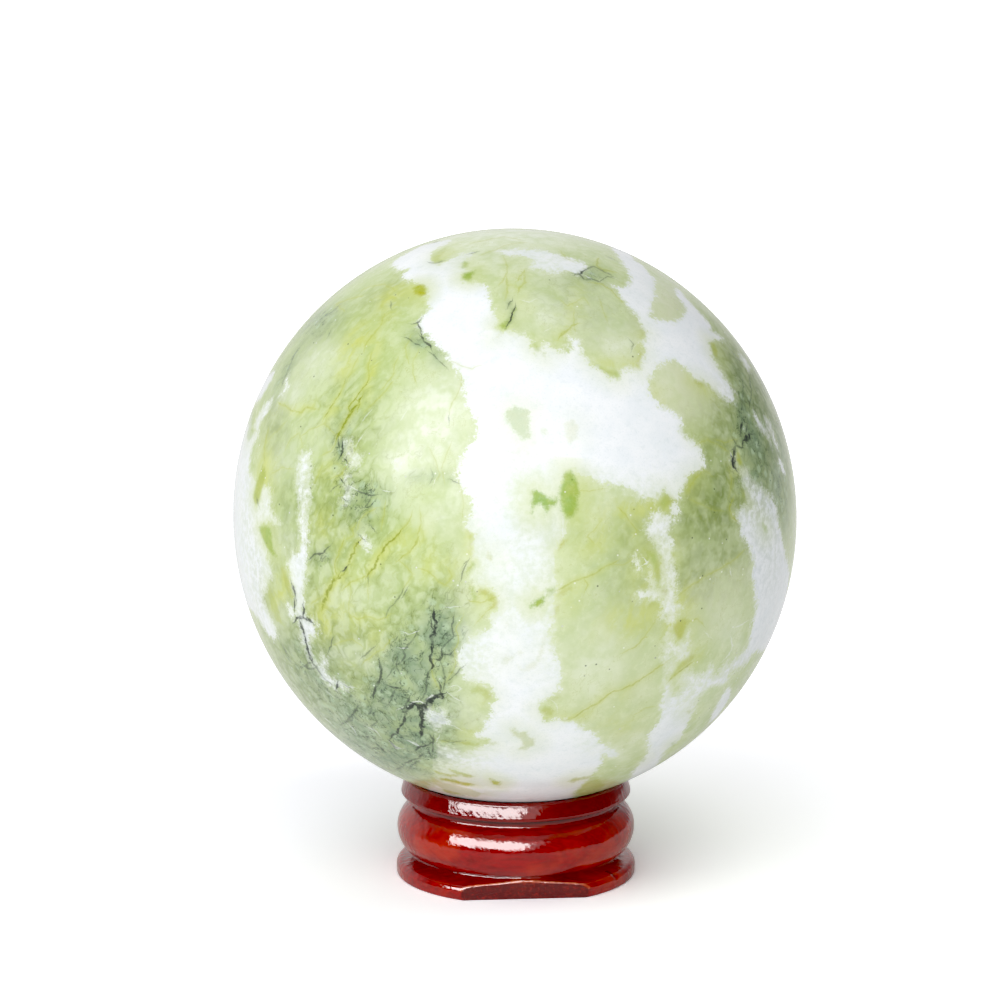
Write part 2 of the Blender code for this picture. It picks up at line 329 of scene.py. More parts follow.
# green and olive islands: outline, then how yellow (0 green, 1 olive-yellow) and how strong
ISLES = [
    ("565,472 571,470 576,477 580,486 581,496 579,506 578,513 573,520 566,521 562,513 559,503 559,493 562,484 563,477", 0.3, 0.88),
    ("531,492 536,490 541,493 547,496 553,499 559,497 560,503 556,508 551,509 548,514 544,519 545,511 541,506 537,508"
     " 534,511 534,518 531,514 530,507 532,500", 0.12, 0.92),
    ("533,604 538,599 543,597 546,602 544,607 539,610 531,610 529,606", 0.15, 0.95),
    ("546,592 550,588 556,588 557,593 552,598 547,597", 0.3, 0.6),
    ("503,417 506,410 514,406 524,408 531,412 531,422 531,430 533,436 529,441 522,442 517,436 511,430 506,424", 0.25, 0.42),
    ("541,428 548,428 550,435 546,439 541,435", 0.5, 0.2),
    ("564,424 573,419 580,425 579,440 570,446 565,438", 0.8, 0.2),
    ("488,552 491,555 493,559 493,563 489,562 487,558", 0.9, 0.45),
    ("502,659 508,656 515,658 513,663 507,667 502,665", 0.7, 0.2),
    ("516,654 521,651 524,654 520,659", 0.7, 0.16),
    ("506,624 509,622 509,628 507,631", 0.8, 0.2),
    ("517,666 524,669 530,664 535,662 540,652 541,644 546,636 549,632 547,645 544,655 541,663 536,671 528,674 520,673", 0.8, 0.16),
    ("510,730 516,729 519,733 528,733 531,739 536,741 536,748 530,750 524,753 518,752 522,747 521,742 515,739 511,736", 0.75, 0.45),
    ("539,711 545,707 552,708 557,713 554,718 547,718 541,715", 0.75, 0.5),
    ("544,703 551,699 560,695 563,700 553,705", 0.7, 0.3),
    ("488,744 498,743 499,747 491,748", 0.8, 0.4),
    ("430,777 442,783 456,786 470,790 484,795 476,799 458,796 444,791 433,785", 1.0, 0.36),
    ("488,779 495,781 503,784 499,788 492,786", 0.85, 0.85),
    ("567,783 575,779 584,778 595,776 590,780 580,782 572,785", 0.8, 0.6),
    ("576,794 582,787 590,782 600,780 606,786 596,794 584,800", 0.75, 0.35),
    ("438,779 450,780 462,783 474,785 478,787 466,788 452,784 442,782", 1.0, 0.85),
    ("430,770 440,773 452,776 462,778 450,779 438,776", 0.95, 0.75),
    ("441,789 456,792 470,794 486,795 470,797 454,796 444,793", 1.0, 0.6),
    ("446,768 456,772 468,775 476,778 470,780 458,777 450,773", 0.9, 0.7),
    ("430,258 432,254 440,249 450,244 446,251 440,258 444,260 440,263 432,263", 0.75, 0.35),
    ("461,263 465,260 470,263 467,268 461,269", 0.35, 0.55),
    ("461,279 463,273 469,271 476,269 474,275 470,282 464,280", 0.35, 0.85),
    ("412,288 418,284 424,284 427,289 426,295 420,297 414,294", 0.9, 1.0),
    ("497,326 501,331 507,331 511,324 515,314 518,305 514,308 509,318 504,322", 0.5, 0.75),
    ("492,341 497,336 502,331 504,334 498,339", 0.8, 0.4),
    ("588,360 594,362 601,366 609,370 617,371 621,374 619,379 611,378 604,374 597,368", 0.6, 0.45),
    ("531,343 536,344 541,349 539,353 535,351", 0.4, 0.55),
    ("542,352 546,353 545,358 543,356", 0.5, 0.5),
    ("553,349 556,346 558,350", 0.7, 0.5),
    ("262,464 266,470 265,480 262,490 259,502 255,508 252,498 255,485 259,474", 0.7, 0.75),
    ("258,528 264,525 270,528 272,536 272,544 275,553 279,562 272,557 266,549 262,540", 0.35, 0.8),
    ("281,562 284,570 288,578 292,590 297,606 290,600 285,589 280,576", 0.85, 0.45),
    ("267,582 271,590 276,603 280,615 284,627 276,623 271,609 267,596", 0.75, 0.45),
    ("247,430 250,425 254,430 252,438 247,443 246,437", 0.3, 0.5),
    ("250,405 256,410 254,422 250,430 247,424", 0.3, 0.45),
    ("742,487 747,491 746,500 741,498", 0.6, 0.4),
    ("673,553 676,554 675,559 672,558", 0.9, 0.7),
    ("675,538 681,540 681,549 676,550", 0.85, 0.35),
    ("710,341 716,343 719,352 717,360 713,353 711,346", 0.8, 0.6),
    ("694,379 702,381 709,386 701,388 695,384", 0.75, 0.5),
    ("659,506 665,494 672,496 677,500 671,507 664,511", 0.75, 0.45),
    ("643,549 650,549 657,553 660,562 662,575 660,588 656,578 653,566 650,560 645,570 641,577 643,565 648,556", 0.6, 0.6),
    ("640,585 648,585 652,590 646,592 641,590", 0.7, 0.4),
    ("660,590 668,586 670,592 666,598 661,594", 0.75, 0.55),
    ("648,603 656,602 660,605 655,608 649,610", 0.7, 0.45),
    ("672,629 678,622 684,618 691,621 686,632 684,640 679,643 675,636", 0.95, 0.6),
    ("682,663 691,655 698,657 692,664 682,671 676,677 671,681 677,670", 0.9, 0.5),
    ("559,552 560,546 563,541 568,540 567,545 562,550", 1.0, 0.75),
    ("554,572 562,569 562,573 557,575", 0.8, 0.5),
    ("556,597 560,590 568,587 576,590 566,596 558,601", 0.85, 0.45),
    ("556,606 561,607 559,615 556,620 554,612", 0.9, 0.5),
    ("478,590 487,590 495,596 500,604 497,611 488,613 490,604 484,598 477,600", 0.95, 0.6),
    ("466,532 471,533 474,540 473,552 474,560 469,556 470,545", 0.95, 0.4),
    ("474,562 476,567 472,573 467,580 462,581 464,572 469,566", 0.45, 0.7),
    ("468,584 475,588 478,598 474,606 470,598 468,590", 0.4, 0.6),
    ("763,522 768,526 769,533 766,537 763,530", 0.4, 0.5),
    ("671,745 676,742 678,745 673,749", 0.4, 0.6),
    ("686,713 692,710 694,713 689,716", 0.85, 0.4),
    ("641,763 645,758 648,759 644,764", 0.5, 0.4),
    ("700,442 694,436 697,440", 0.5, 0.4),
    ("640,341 646,337 648,333 643,326 640,330", 0.8, 0.3),
    ("640,370 642,361 645,352 639,350 636,360 637,369", 0.85, 0.4),
    ("440,741 452,742 466,742 480,745 480,748 466,748 452,744 442,745", 0.85, 0.55),
    ("470,690 478,686 487,690 493,696 494,702 487,703 481,697 472,695", 0.75, 0.35),
    ("683,486 690,477 699,471 701,476 695,486 691,495 685,500", 0.75, 0.45),
    ("738,448 741,456 744,466 740,468 736,460", 0.8, 0.8),
]

# soft zones: kind, centre x,y, half-sizes along and across, turn in degrees (anticlockwise on the picture), strength
# painted highlight and painted light: the milk zones at the front's upper left stand partly for milky stone and partly
# for the softbox's soft reflection there, and the milk zones at 660,380 and 548,268 and the beige zone at 716,380
# lighten spots that the lighting leaves too dark
ZONES = """
yellow 352,345 26,14 60 0.8
yellow 372,365 34,7 80 0.7
yellow 345,370 18,10 50 0.5
yellow 400,290 30,12 20 0.5
yellow 388,306 14,10 60 0.6
yellow 420,290 10,8 0 1.0
yellow 440,256 24,6 25 0.5
yellow 560,330 30,14 45 0.35
yellow 575,300 20,10 70 0.35
yellow 515,280 26,16 100 0.3
yellow 620,365 26,9 0 0.6
yellow 640,345 8,22 0 0.4
yellow 655,395 18,16 0 0.35
yellow 700,385 20,8 -35 0.4
yellow 470,545 6,30 0 0.8
yellow 485,600 16,12 0 0.8
yellow 330,415 26,5 50 0.5
yellow 300,408 26,8 10 0.4
yellow 350,455 10,20 0 0.5
yellow 335,470 18,24 0 0.4
yellow 325,525 20,18 0 0.5
yellow 336,585 20,10 45 0.6
yellow 322,615 22,16 60 0.55
yellow 345,618 20,14 0 0.5
yellow 328,632 20,14 0 0.5
yellow 380,560 30,10 45 0.45
yellow 410,540 20,10 50 0.45
yellow 425,545 10,30 0 0.35
yellow 375,640 20,20 0 0.4
yellow 350,675 20,20 0 0.3
yellow 265,470 9,30 0 0.8
yellow 285,585 8,26 -20 0.7
yellow 275,600 8,24 -18 0.6
yellow 445,570 26,16 0 0.4
yellow 590,500 18,26 0 0.3
yellow 615,520 30,20 0 0.4
yellow 600,545 24,14 30 0.4
yellow 640,510 26,12 0 0.5
yellow 660,508 16,12 0 0.5
yellow 655,575 24,30 0 0.45
yellow 640,620 40,20 20 0.45
yellow 680,620 14,26 -10 0.9
yellow 690,660 16,8 40 0.7
yellow 565,600 16,16 0 0.4
yellow 575,590 30,6 30 0.5
yellow 560,718 30,6 0 0.5
yellow 610,700 40,10 30 0.35
yellow 625,730 30,14 0 0.3
yellow 625,620 20,14 0 0.4
yellow 690,480 14,18 0 0.5
yellow 735,465 12,20 0 0.5
yellow 470,735 20,12 0 0.4
yellow 485,700 14,14 0 0.4
beige 450,785 30,10 -10 0.6
milk 520,234 70,16 0 0.7
milk 470,238 36,12 12 0.35
beige 668,302 22,26 -20 0.95
beige 612,346 34,18 -20 0.6
beige 690,352 22,36 30 0.6
beige 692,402 32,28 0 0.8
beige 690,404 26,24 0 0.5
milk 522,495 34,44 0 0.65
milk 525,580 28,58 0 0.55
milk 470,575 16,48 0 0.8
haze 766,500 12,50 0 0.9
dark 782,490 12,60 0 0.5
olive 284,545 20,60 8 0.45
beige 672,385 30,24 -35 0.9
deep 344,405 44,44 0 0.8
olive 275,430 16,50 -6 0.6
olive 314,520 18,50 0 0.35
olive 460,590 20,34 0 0.5
deep 345,505 30,50 0 0.35
deep 296,515 26,66 0 0.85
deep 355,640 34,26 0 0.45
deep 408,635 26,24 0 0.35
deep 470,590 16,30 0 0.5
olive 262,590 12,60 16 0.6
dark 752,462 22,32 0 0.85
olive 766,412 20,60 8 0.7
olive 690,575 44,32 0 0.45
olive 695,465 32,28 0 0.4
deep 440,600 36,16 20 0.75
deep 470,600 12,24 0 0.6
deep 455,575 18,22 20 0.4
deep 355,520 30,30 0 0.45
deep 350,500 22,18 0 0.35
deep 375,497 20,12 0 0.4
deep 340,440 12,16 0 0.7
deep 352,415 26,8 55 0.6
deep 305,325 34,16 40 0.5
deep 280,370 40,9 62 0.45
deep 325,330 14,8 30 0.6
deep 595,280 20,12 0 0.7
deep 560,300 40,30 0 0.35
deep 610,310 30,30 0 0.35
deep 640,560 26,20 0 0.55
deep 620,590 30,16 0 0.3
deep 700,500 34,22 0 0.5
deep 730,500 20,36 0 0.5
deep 700,540 40,24 0 0.3
deep 725,555 24,14 20 0.45
deep 745,420 12,44 0 0.9
deep 755,450 14,40 0 0.5
deep 740,410 12,30 0 0.5
deep 715,330 12,40 35 0.5
deep 690,280 16,40 45 0.4
deep 740,370 12,40 25 0.6
deep 318,575 24,20 0 0.45
deep 318,555 14,10 0 0.5
deep 312,620 10,14 0 0.6
deep 325,650 16,14 0 0.35
deep 405,610 20,10 30 0.4
deep 410,640 20,26 20 0.5
deep 365,545 16,10 0 0.3
deep 575,530 14,14 0 0.35
dark 436,655 22,44 -8 0.85
dark 412,690 34,40 0 0.7
dark 392,735 44,28 0 0.75
dark 425,745 26,30 0 0.9
dark 380,690 26,22 0 0.5
dark 402,655 22,18 30 0.6
dark 385,760 50,22 -25 0.7
dark 432,760 22,22 0 0.7
dark 350,715 30,16 30 0.35
dark 440,625 16,20 0 0.6
dark 455,645 12,24 0 0.45
dark 320,318 30,12 38 0.5
dark 342,450 8,14 0 0.6
dark 438,350 14,20 35 0.5
dark 425,343 12,8 0 0.55
dark 415,335 12,12 0 0.4
dark 455,482 12,5 0 0.25
dark 430,478 26,8 0 0.35
dark 370,497 16,8 0 0.5
dark 748,430 8,24 0 0.85
dark 757,405 10,50 8 0.2
dark 742,385 6,26 15 0.35
dark 590,272 16,8 0 0.5
dark 285,372 30,5 62 0.5
dark 300,670 16,22 30 0.25
dark 322,560 14,7 0 0.4
dark 512,312 7,20 20 0.4
dark 775,440 12,50 10 0.25
milk 430,425 42,48 0 0.85
milk 445,400 24,40 0 0.6
milk 405,460 26,22 0 0.7
milk 400,490 18,20 0 0.35
milk 320,360 26,22 40 0.6
milk 290,395 22,16 50 0.5
milk 320,440 24,24 0 0.3
milk 440,520 26,16 0 0.6
milk 455,500 18,16 0 0.4
milk 285,460 16,26 0 0.35
milk 285,545 18,26 0 0.35
milk 280,620 12,16 0 0.5
milk 350,600 26,14 0 0.4
milk 345,655 22,14 0 0.35
milk 370,660 16,14 0 0.3
milk 545,315 26,22 0 0.35
milk 510,305 14,24 0 0.35
milk 620,350 20,14 0 0.5
beige 665,310 18,14 0 0.6
milk 630,490 40,14 0 0.5
milk 590,475 22,8 0 0.6
milk 600,510 16,20 0 0.3
milk 545,505 14,24 0 0.5
milk 552,560 8,50 0 0.7
milk 550,605 8,22 0 0.8
milk 535,560 24,60 0 0.25
milk 480,575 10,26 0 0.6
milk 470,640 18,20 0 0.75
milk 470,665 18,18 0 0.7
milk 470,710 22,20 0 0.45
milk 450,755 30,12 0 0.6
milk 605,650 26,40 0 0.25
milk 590,675 22,24 0 0.35
milk 700,690 26,20 0 0.35
milk 735,640 14,26 20 0.35
milk 590,745 14,14 0 0.4
milk 615,756 12,8 0 0.6
milk 640,740 16,10 0 0.3
milk 365,745 26,14 -35 0.4
milk 368,730 12,6 -20 0.7
milk 345,735 10,12 0 0.4
milk 325,690 24,8 -40 0.45
milk 335,715 20,10 -30 0.3
milk 660,290 16,22 0 0.25
milk 560,520 10,30 0 0.4
beige 690,385 22,14 0 0.5
beige 675,370 18,10 0 0.4
beige 610,640 40,50 0 0.35
beige 640,690 40,40 0 0.45
beige 720,590 40,40 0 0.6
beige 735,560 30,20 0 0.4
beige 700,620 30,30 0 0.4
beige 630,740 40,20 0 0.5
beige 590,690 30,30 0 0.4
beige 560,680 16,40 0 0.3
beige 780,540 16,50 0 0.5
beige 750,420 30,50 0 0.35
beige 520,495 14,7 0 0.3
beige 460,725 24,20 0 0.35
beige 275,690 20,40 40 0.3
beige 360,770 40,20 -30 0.3
haze 765,560 30,80 0 0.5
haze 740,660 30,30 0 0.4
haze 670,740 30,40 0 0.2
haze 450,650 20,14 0 0.3
haze 560,510 14,24 0 0.3
haze 310,650 20,34 0 0.7
haze 303,560 12,50 0 0.3
haze 250,500 14,60 0 0.3
haze 740,500 16,40 0 0.3
olive 758,430 28,110 8 0.9
olive 705,490 44,44 0 0.7
olive 725,530 34,34 0 0.6
olive 745,370 16,60 28 0.6
olive 700,290 16,60 42 0.7
olive 690,555 40,34 0 0.35
olive 640,545 34,34 0 0.35
olive 590,320 40,40 0 0.25
olive 560,290 30,26 0 0.25
olive 640,330 12,30 0 0.3
olive 780,470 14,60 8 0.5
olive 440,610 34,20 0 0.3
olive 350,520 30,40 0 0.35
olive 390,580 44,24 40 0.3
olive 355,640 30,20 0 0.3
olive 315,340 40,20 50 0.45
olive 275,400 12,40 -20 0.35
olive 345,430 16,30 -20 0.35
olive 390,290 40,16 25 0.35
olive 320,620 16,30 -10 0.3
olive 300,690 50,18 -50 0.6
olive 350,745 50,16 -36 0.6
olive 300,640 24,50 20 0.5
olive 295,665 34,50 25 0.5
olive 350,735 60,26 -36 0.6
olive 325,655 30,24 0 0.3
olive 258,600 12,60 15 0.4
olive 765,440 26,60 8 0.6
olive 640,600 60,50 0 0.25
olive 470,590 20,30 0 0.2
net 350,420 90,110 20 0.55
lime 340,330 90,80 0 0.8
lime 345,540 90,110 0 0.9
lime 420,600 60,50 0 0.5
lime 700,480 60,50 0 0.5
milk 545,315 40,30 0 0.3
milk 600,300 30,30 0 0.3
milk 620,335 30,20 0 0.4
olive 755,470 26,40 8 0.6
olive 700,500 40,40 0 0.3
dark 362,502 28,26 0 0.5
dark 344,455 12,26 0 0.45
net 355,485 40,60 0 0.9
deep 330,430 60,60 0 0.3
dark 300,655 20,40 30 0.35
dark 330,690 30,16 -40 0.35
olive 330,650 50,40 0 0.4
milk 490,262 44,16 0 0.5
milk 560,650 30,80 0 0.2
deep 352,480 34,60 10 0.4
deep 700,465 34,40 0 0.4
olive 762,430 24,60 8 0.7
olive 770,480 20,60 8 0.5
dark 745,425 8,30 5 0.5
olive 324,548 30,32 0 0.24
olive 324,604 30,30 0 0.24
olive 380,436 28,26 0 0.20
milk 492,604 24,24 0 0.5
olive 772,492 18,30 8 0.4
milk 660,380 24,20 0 0.3
milk 548,268 30,20 0 0.35
beige 716,380 20,26 30 0.35
veil 438,722 22,20 0 0.3
haze 438,722 20,16 0 0.8
veil 434,776 14,30 0 0.8
veil 450,765 30,14 0 0.4
net 330,580 80,110 0 0.85
net 400,690 90,90 0 1.0
net 330,720 90,60 -35 0.9
net 560,300 60,50 0 0.5
net 400,290 60,40 30 0.5
net 742,430 34,120 8 0.8
net 700,540 50,60 0 0.3
dark 350,740 60,26 -36 0.35
dark 322,700 40,18 -45 0.3
dark 748,440 12,20 0 0.5
veil 302,490 16,56 0 0.75
veil 303,580 14,40 0 0.2
veil 318,640 16,40 0 0.35
veil 250,520 26,110 0 0.4
veil 322,668 34,14 -45 0.5
veil 276,510 12,40 0 0.35
veil 262,590 14,50 0 0.35
veil 266,400 10,40 -20 0.5
veil 757,498 20,34 0 0.75
veil 745,465 12,16 0 0.6
veil 775,540 12,50 0 0.25
veil 662,560 16,60 0 0.6
veil 672,650 18,44 0 0.75
veil 690,690 36,28 0 0.6
veil 730,668 30,12 20 0.6
veil 352,455 14,20 0 1.0
veil 346,490 10,18 0 1.0
veil 366,545 8,8 0 0.5
veil 397,465 8,8 0 0.6
veil 748,362 12,30 -20 0.6
veil 768,435 12,44 -12 0.8
veil 480,660 20,30 0 0.3
veil 460,760 30,14 0 0.35
veil 550,640 14,40 0 0.2
veil 540,265 30,10 0 0.2
"""

# thin veins: kind, half-width in px, points
VEINS = [
    # olive-yellow hairlines
    ("y", 1.0, 0.9, "368,382 361,391 354,400 348,408 350,412"),
    ("y", 1.6, 1.0, "361,398 356,406 350,415 343,426 339,436 336,442"),
    ("y", 0.9, 0.8, "355,399 359,405 357,411"),
    ("y", 0.9, 0.8, "345,382 340,393 332,405 325,416 323,420"),
    ("y", 1.0, 0.55, "371,355 368,366 369,378 366,384"),
    ("y", 1.1, 0.55, "384,316 380,327 372,336 366,342 364,350"),
    ("y", 0.8, 0.45, "393,382 385,392 375,403 364,413"),
    ("y", 0.8, 0.4, "358,357 354,366 350,376 346,384"),
    ("y", 0.8, 0.4, "398,358 394,366 393,376 387,384 380,392"),
    ("y", 0.8, 0.35, "410,338 405,348 406,356 409,364"),
    ("y", 0.8, 0.35, "418,352 413,362 413,374 416,384"),
    ("y", 0.7, 0.35, "462,378 461,388 457,396 452,404 449,415"),
    ("y", 0.7, 0.35, "452,362 460,366 472,370 480,366"),
    ("y", 1.0, 0.6, "278,404 287,408 292,412 300,414 306,408 316,410"),
    ("y", 0.7, 0.35, "300,438 310,430 324,424 336,436"),
    ("y", 0.7, 0.35, "285,450 290,440 298,434 302,444 300,452"),
    ("y", 0.8, 0.4, "322,456 330,452 336,444"),
    ("y", 0.8, 0.5, "349,462 344,470 341,476 330,480"),
    ("y", 0.8, 0.4, "322,466 318,476 314,484"),
    ("y", 1.5, 1.0, "401,532 396,540 389,544 384,552 378,558 375,566 370,574 367,578"),
    ("y", 0.9, 0.6, "367,577 359,580 351,584 344,590"),
    ("y", 0.9, 0.5, "401,532 408,524 412,514"),
    ("y", 1.2, 0.7, "418,540 412,550 405,557 399,562"),
    ("y", 0.8, 0.4, "399,562 406,568 413,576 404,590"),
    ("y", 1.5, 0.95, "362,540 356,548 352,556 350,564 346,571 342,577 336,582"),
    ("y", 2.0, 1.0, "339,576 333,584 328,592 325,602 322,612"),
    ("y", 1.0, 0.7, "344,540 340,552 336,562 335,570 337,578"),
    ("y", 0.9, 0.6, "357,524 352,530 354,537 345,541"),
    ("y", 0.8, 0.5, "375,510 368,514 360,522 357,532"),
    ("y", 0.8, 0.5, "385,506 384,518 381,530"),
    ("y", 0.7, 0.4, "367,578 368,588 368,600"),
    ("y", 0.7, 0.35, "350,584 351,596 348,608 350,620"),
    ("y", 0.8, 0.4, "330,648 340,644 352,640 362,648"),
    ("y", 1.0, 0.5, "350,616 358,622 366,618 378,622 390,616"),
    ("y", 0.9, 0.45, "392,640 384,650 374,656 364,664"),
    ("y", 0.9, 0.45, "310,606 318,600 326,596"),
    ("y", 0.7, 0.3, "268,440 276,432 284,424"),
    ("y", 0.7, 0.35, "272,474 282,468 292,470"),
    ("y", 1.0, 0.5, "268,430 264,446 264,462"),
    ("y", 0.9, 0.4, "500,284 506,276 508,266 504,258"),
    ("y", 0.9, 0.45, "506,276 508,286 506,298"),
    ("y", 1.1, 0.5, "519,292 524,282 524,272 518,280"),
    ("y", 0.8, 0.35, "575,312 574,324 576,332"),
    ("y", 1.1, 0.6, "560,338 566,332 572,326 578,324"),
    ("y", 0.7, 0.3, "560,300 568,306 576,302 584,298 590,306"),
    ("y", 0.8, 0.45, "590,282 602,284 612,290 618,298 624,304"),
    ("y", 0.7, 0.35, "600,300 604,312 608,322"),
    ("y", 1.0, 0.6, "598,258 597,266 604,270 615,272"),
    ("y", 0.8, 0.35, "560,250 566,258 574,262"),
    ("y", 0.8, 0.35, "470,243 486,240 504,236 520,239"),
    ("y", 0.7, 0.3, "480,255 494,250 508,244 526,242"),
    ("y", 0.95, 0.62, "558,592 566,587 575,582 584,580 593,576 602,571 612,566 618,562"),
    ("y", 0.8, 0.5, "584,580 588,586 586,592"),
    ("y", 0.7, 0.35, "612,566 624,566 634,560"),
    ("y", 0.9, 0.5, "620,510 630,522 638,532 634,538"),
    ("y", 0.8, 0.35, "600,524 594,532 588,538 594,544"),
    ("y", 0.7, 0.35, "580,492 592,492 604,490"),
    ("y", 0.8, 0.4, "690,489 698,478 705,470 712,476"),
    ("y", 0.9, 0.5, "680,597 688,590 697,584 705,578 713,574 721,570 728,565 736,560 744,552"),
    ("y", 0.7, 0.3, "690,500 702,506 712,510 724,512"),
    ("y", 0.7, 0.35, "730,470 733,480 731,492 729,500"),
    ("y", 1.1, 0.6, "734,500 730,508 733,518 738,522"),
    ("y", 0.8, 0.4, "716,440 726,443 736,440"),
    ("y", 0.8, 0.45, "697,446 708,440 720,446 728,452"),
    ("y", 0.95, 0.62, "562,722 572,721 580,716 585,711 593,707 600,703 608,697 614,693 622,692 630,688 640,682 650,675 658,670 666,664"),
    ("y", 0.8, 0.5, "624,655 632,650 638,647 643,640 648,638"),
    ("y", 0.7, 0.35, "644,640 650,632 656,622 662,616"),
    ("y", 0.9, 0.5, "692,622 698,620 704,626"),
    ("y", 0.7, 0.3, "636,716 646,710 656,708"),
    ("y", 1.0, 0.7, "670,682 676,676 684,670 692,664"),
    ("y", 0.9, 0.5, "448,570 452,577 448,584 444,588"),
    ("y", 0.9, 0.5, "420,570 430,574 438,582 448,588"),
    ("y", 0.8, 0.4, "420,512 422,524 418,536 420,548"),
    ("y", 0.9, 0.5, "462,620 456,630 460,640 454,652 458,662"),
    ("y", 0.7, 0.35, "476,626 486,614 494,608"),
    ("y", 0.9, 0.5, "470,603 480,605 490,602 497,598"),
    ("y", 0.9, 0.5, "434,660 432,672 436,684 440,692"),
    ("y", 0.8, 0.4, "454,652 456,664 452,676 446,684"),
    ("y", 0.7, 0.3, "430,450 436,462 440,476 434,484"),
    ("y", 0.7, 0.3, "452,444 446,456 442,470 444,482"),
    ("y", 0.7, 0.3, "456,470 458,480 462,492 464,506 462,520"),
    ("y", 0.9, 0.5, "344,310 336,304 350,298 362,296"),
    ("y", 0.8, 0.4, "360,290 372,286 384,284 394,290"),
    # dark cracks and hairlines
    ("d", 1.0, 0.9, "515,307 513,313 510,320 507,326"),
    ("d", 1.3, 0.8, "509,306 511,302"),
    ("d", 0.8, 0.6, "574,273 580,274 585,279 592,279 600,282"),
    ("d", 1.1, 0.9, "576,274 582,273 584,270"),
    ("d", 0.7, 0.5, "584,270 594,266 602,270 612,275"),
    ("d", 0.6, 0.4, "600,282 608,276 614,278"),
    ("d", 0.8, 0.7, "412,324 418,323 421,319"),
    ("d", 1.0, 0.7, "417,324 420,330 422,336"),
    ("d", 0.8, 0.6, "405,338 410,340 414,344 420,346"),
    ("d", 1.0, 0.75, "420,336 424,342 430,345 432,349"),
    ("d", 0.6, 0.45, "428,352 434,356 440,362 446,368"),
    ("d", 1.3, 0.85, "342,443 342,452 340,458"),
    ("d", 1.0, 0.7, "338,440 339,450"),
    ("d", 1.1, 0.8, "344,460 347,463"),
    ("d", 1.2, 0.8, "340,480 343,484"),
    ("d", 0.8, 0.6, "332,491 337,487"),
    ("d", 1.1, 0.8, "343,500 346,502"),
    ("d", 0.9, 0.6, "356,492 364,494 371,497 377,496"),
    ("d", 0.8, 0.5, "371,497 368,505 364,509"),
    ("d", 0.7, 0.6, "364,509 370,508 374,503"),
    ("d", 1.2, 0.9, "361,538 363,540"),
    ("d", 0.9, 0.8, "372,529 374,531"),
    ("d", 1.0, 0.7, "326,550 322,555 314,556 309,561"),
    ("d", 0.9, 0.6, "330,547 326,551"),
    ("d", 1.3, 0.9, "347,568 342,573"),
    ("d", 0.7, 0.5, "368,578 368,584"),
    ("d", 0.7, 0.5, "404,590 400,598 394,606"),
    ("d", 0.7, 0.45, "394,606 388,612 386,618"),
    ("d", 0.8, 0.5, "408,590 402,600"),
    # the dark vein at the left
    ("d", 1.0, 0.8, "291,584 294,594 296,604"),
    ("d", 1.0, 0.8, "294,600 294,612"),
    ("d", 1.3, 0.9, "294,624 297,620 302,619 308,621 312,624"),
    ("d", 1.1, 0.9, "303,606 303,613 302,619"),
    ("d", 1.2, 0.9, "299,621 302,630 305,640 306,648"),
    ("d", 1.8, 0.95, "306,645 308,652 310,658 312,664"),
    ("d", 0.9, 0.6, "312,664 318,672 324,680 331,686"),
    ("d", 1.6, 0.9, "337,684 336,690"),
    ("d", 0.7, 0.5, "341,684 348,689 352,691"),
    ("d", 0.9, 0.6, "311,664 302,668 308,670 316,669"),
    ("d", 0.8, 0.55, "290,660 286,654 282,646"),
    ("d", 1.0, 0.6, "291,664 287,658"),
    ("d", 0.8, 0.6, "333,638 331,646 328,654"),
    ("d", 0.8, 0.5, "375,648 368,654 362,660"),
    # the crack knot and its branches
    ("d", 3.8, 1.0, "413,706 419,709 424,709 429,705 435,701"),
    ("d", 2.8, 1.0, "434,701 440,699 444,696"),
    ("d", 2.0, 1.0, "414,706 408,709 404,713 401,711"),
    ("d", 2.9, 1.0, "424,709 422,716 422,724"),
    ("d", 1.8, 1.0, "422,722 421,730 421,738"),
    ("d", 1.3, 0.9, "406,712 404,722 401,728 396,735 391,740"),
    ("d", 1.1, 0.8, "403,711 407,704 410,698"),
    ("d", 1.2, 0.8, "441,696 442,690 439,684"),
    ("d", 0.9, 0.6, "430,736 433,742 434,750 432,756"),
    ("d", 1.2, 0.8, "433,744 424,748 415,752"),
    ("d", 1.0, 0.7, "434,738 433,746"),
    ("d", 1.6, 0.9, "429,752 431,757"),
    ("d", 2.0, 1.0, "434,613 436,624 435,633 433,640 433,648 432,655"),
    ("d", 0.9, 0.7, "431,620 432,630 437,636"),
    ("d", 1.9, 0.9, "432,655 430,660 433,668 430,672"),
    ("d", 1.1, 0.7, "438,634 434,641"),
    ("d", 1.2, 0.75, "442,650 443,657 440,662 434,661"),
    ("d", 1.0, 0.7, "443,656 450,657 454,653"),
    ("d", 0.8, 0.6, "454,618 452,628 454,638 446,646 442,652"),
    ("d", 0.9, 0.6, "441,664 444,674 446,684 442,694"),
    ("d", 0.8, 0.55, "430,672 427,682 426,694 421,702"),
    ("d", 0.7, 0.5, "446,684 456,676 464,668"),
    ("d", 0.9, 0.6, "418,632 414,640 408,647 404,652"),
    ("d", 1.1, 0.6, "402,650 405,658 401,664"),
    ("d", 0.7, 0.45, "400,664 392,672 386,680"),
    ("d", 1.2, 0.8, "379,662 381,672 379,682 375,690 373,700"),
    ("d", 1.1, 0.7, "386,687 394,690 401,690"),
    ("d", 0.8, 0.5, "396,690 392,698 388,706"),
    ("d", 0.9, 0.6, "388,706 380,704 384,700"),
    ("d", 1.0, 0.6, "358,708 353,716 347,722 341,726"),
    ("d", 0.7, 0.45, "366,700 372,710 368,716"),
    ("d", 0.8, 0.5, "352,716 352,722 347,723"),
    ("d", 0.9, 0.5, "378,738 372,728 378,722"),
    ("d", 1.2, 0.7, "389,742 394,748 399,750"),
    ("d", 1.2, 0.75, "376,745 381,750 386,754"),
    ("d", 0.8, 0.5, "372,750 380,749"),
    ("d", 0.9, 0.6, "404,766 410,762 418,760 424,756"),
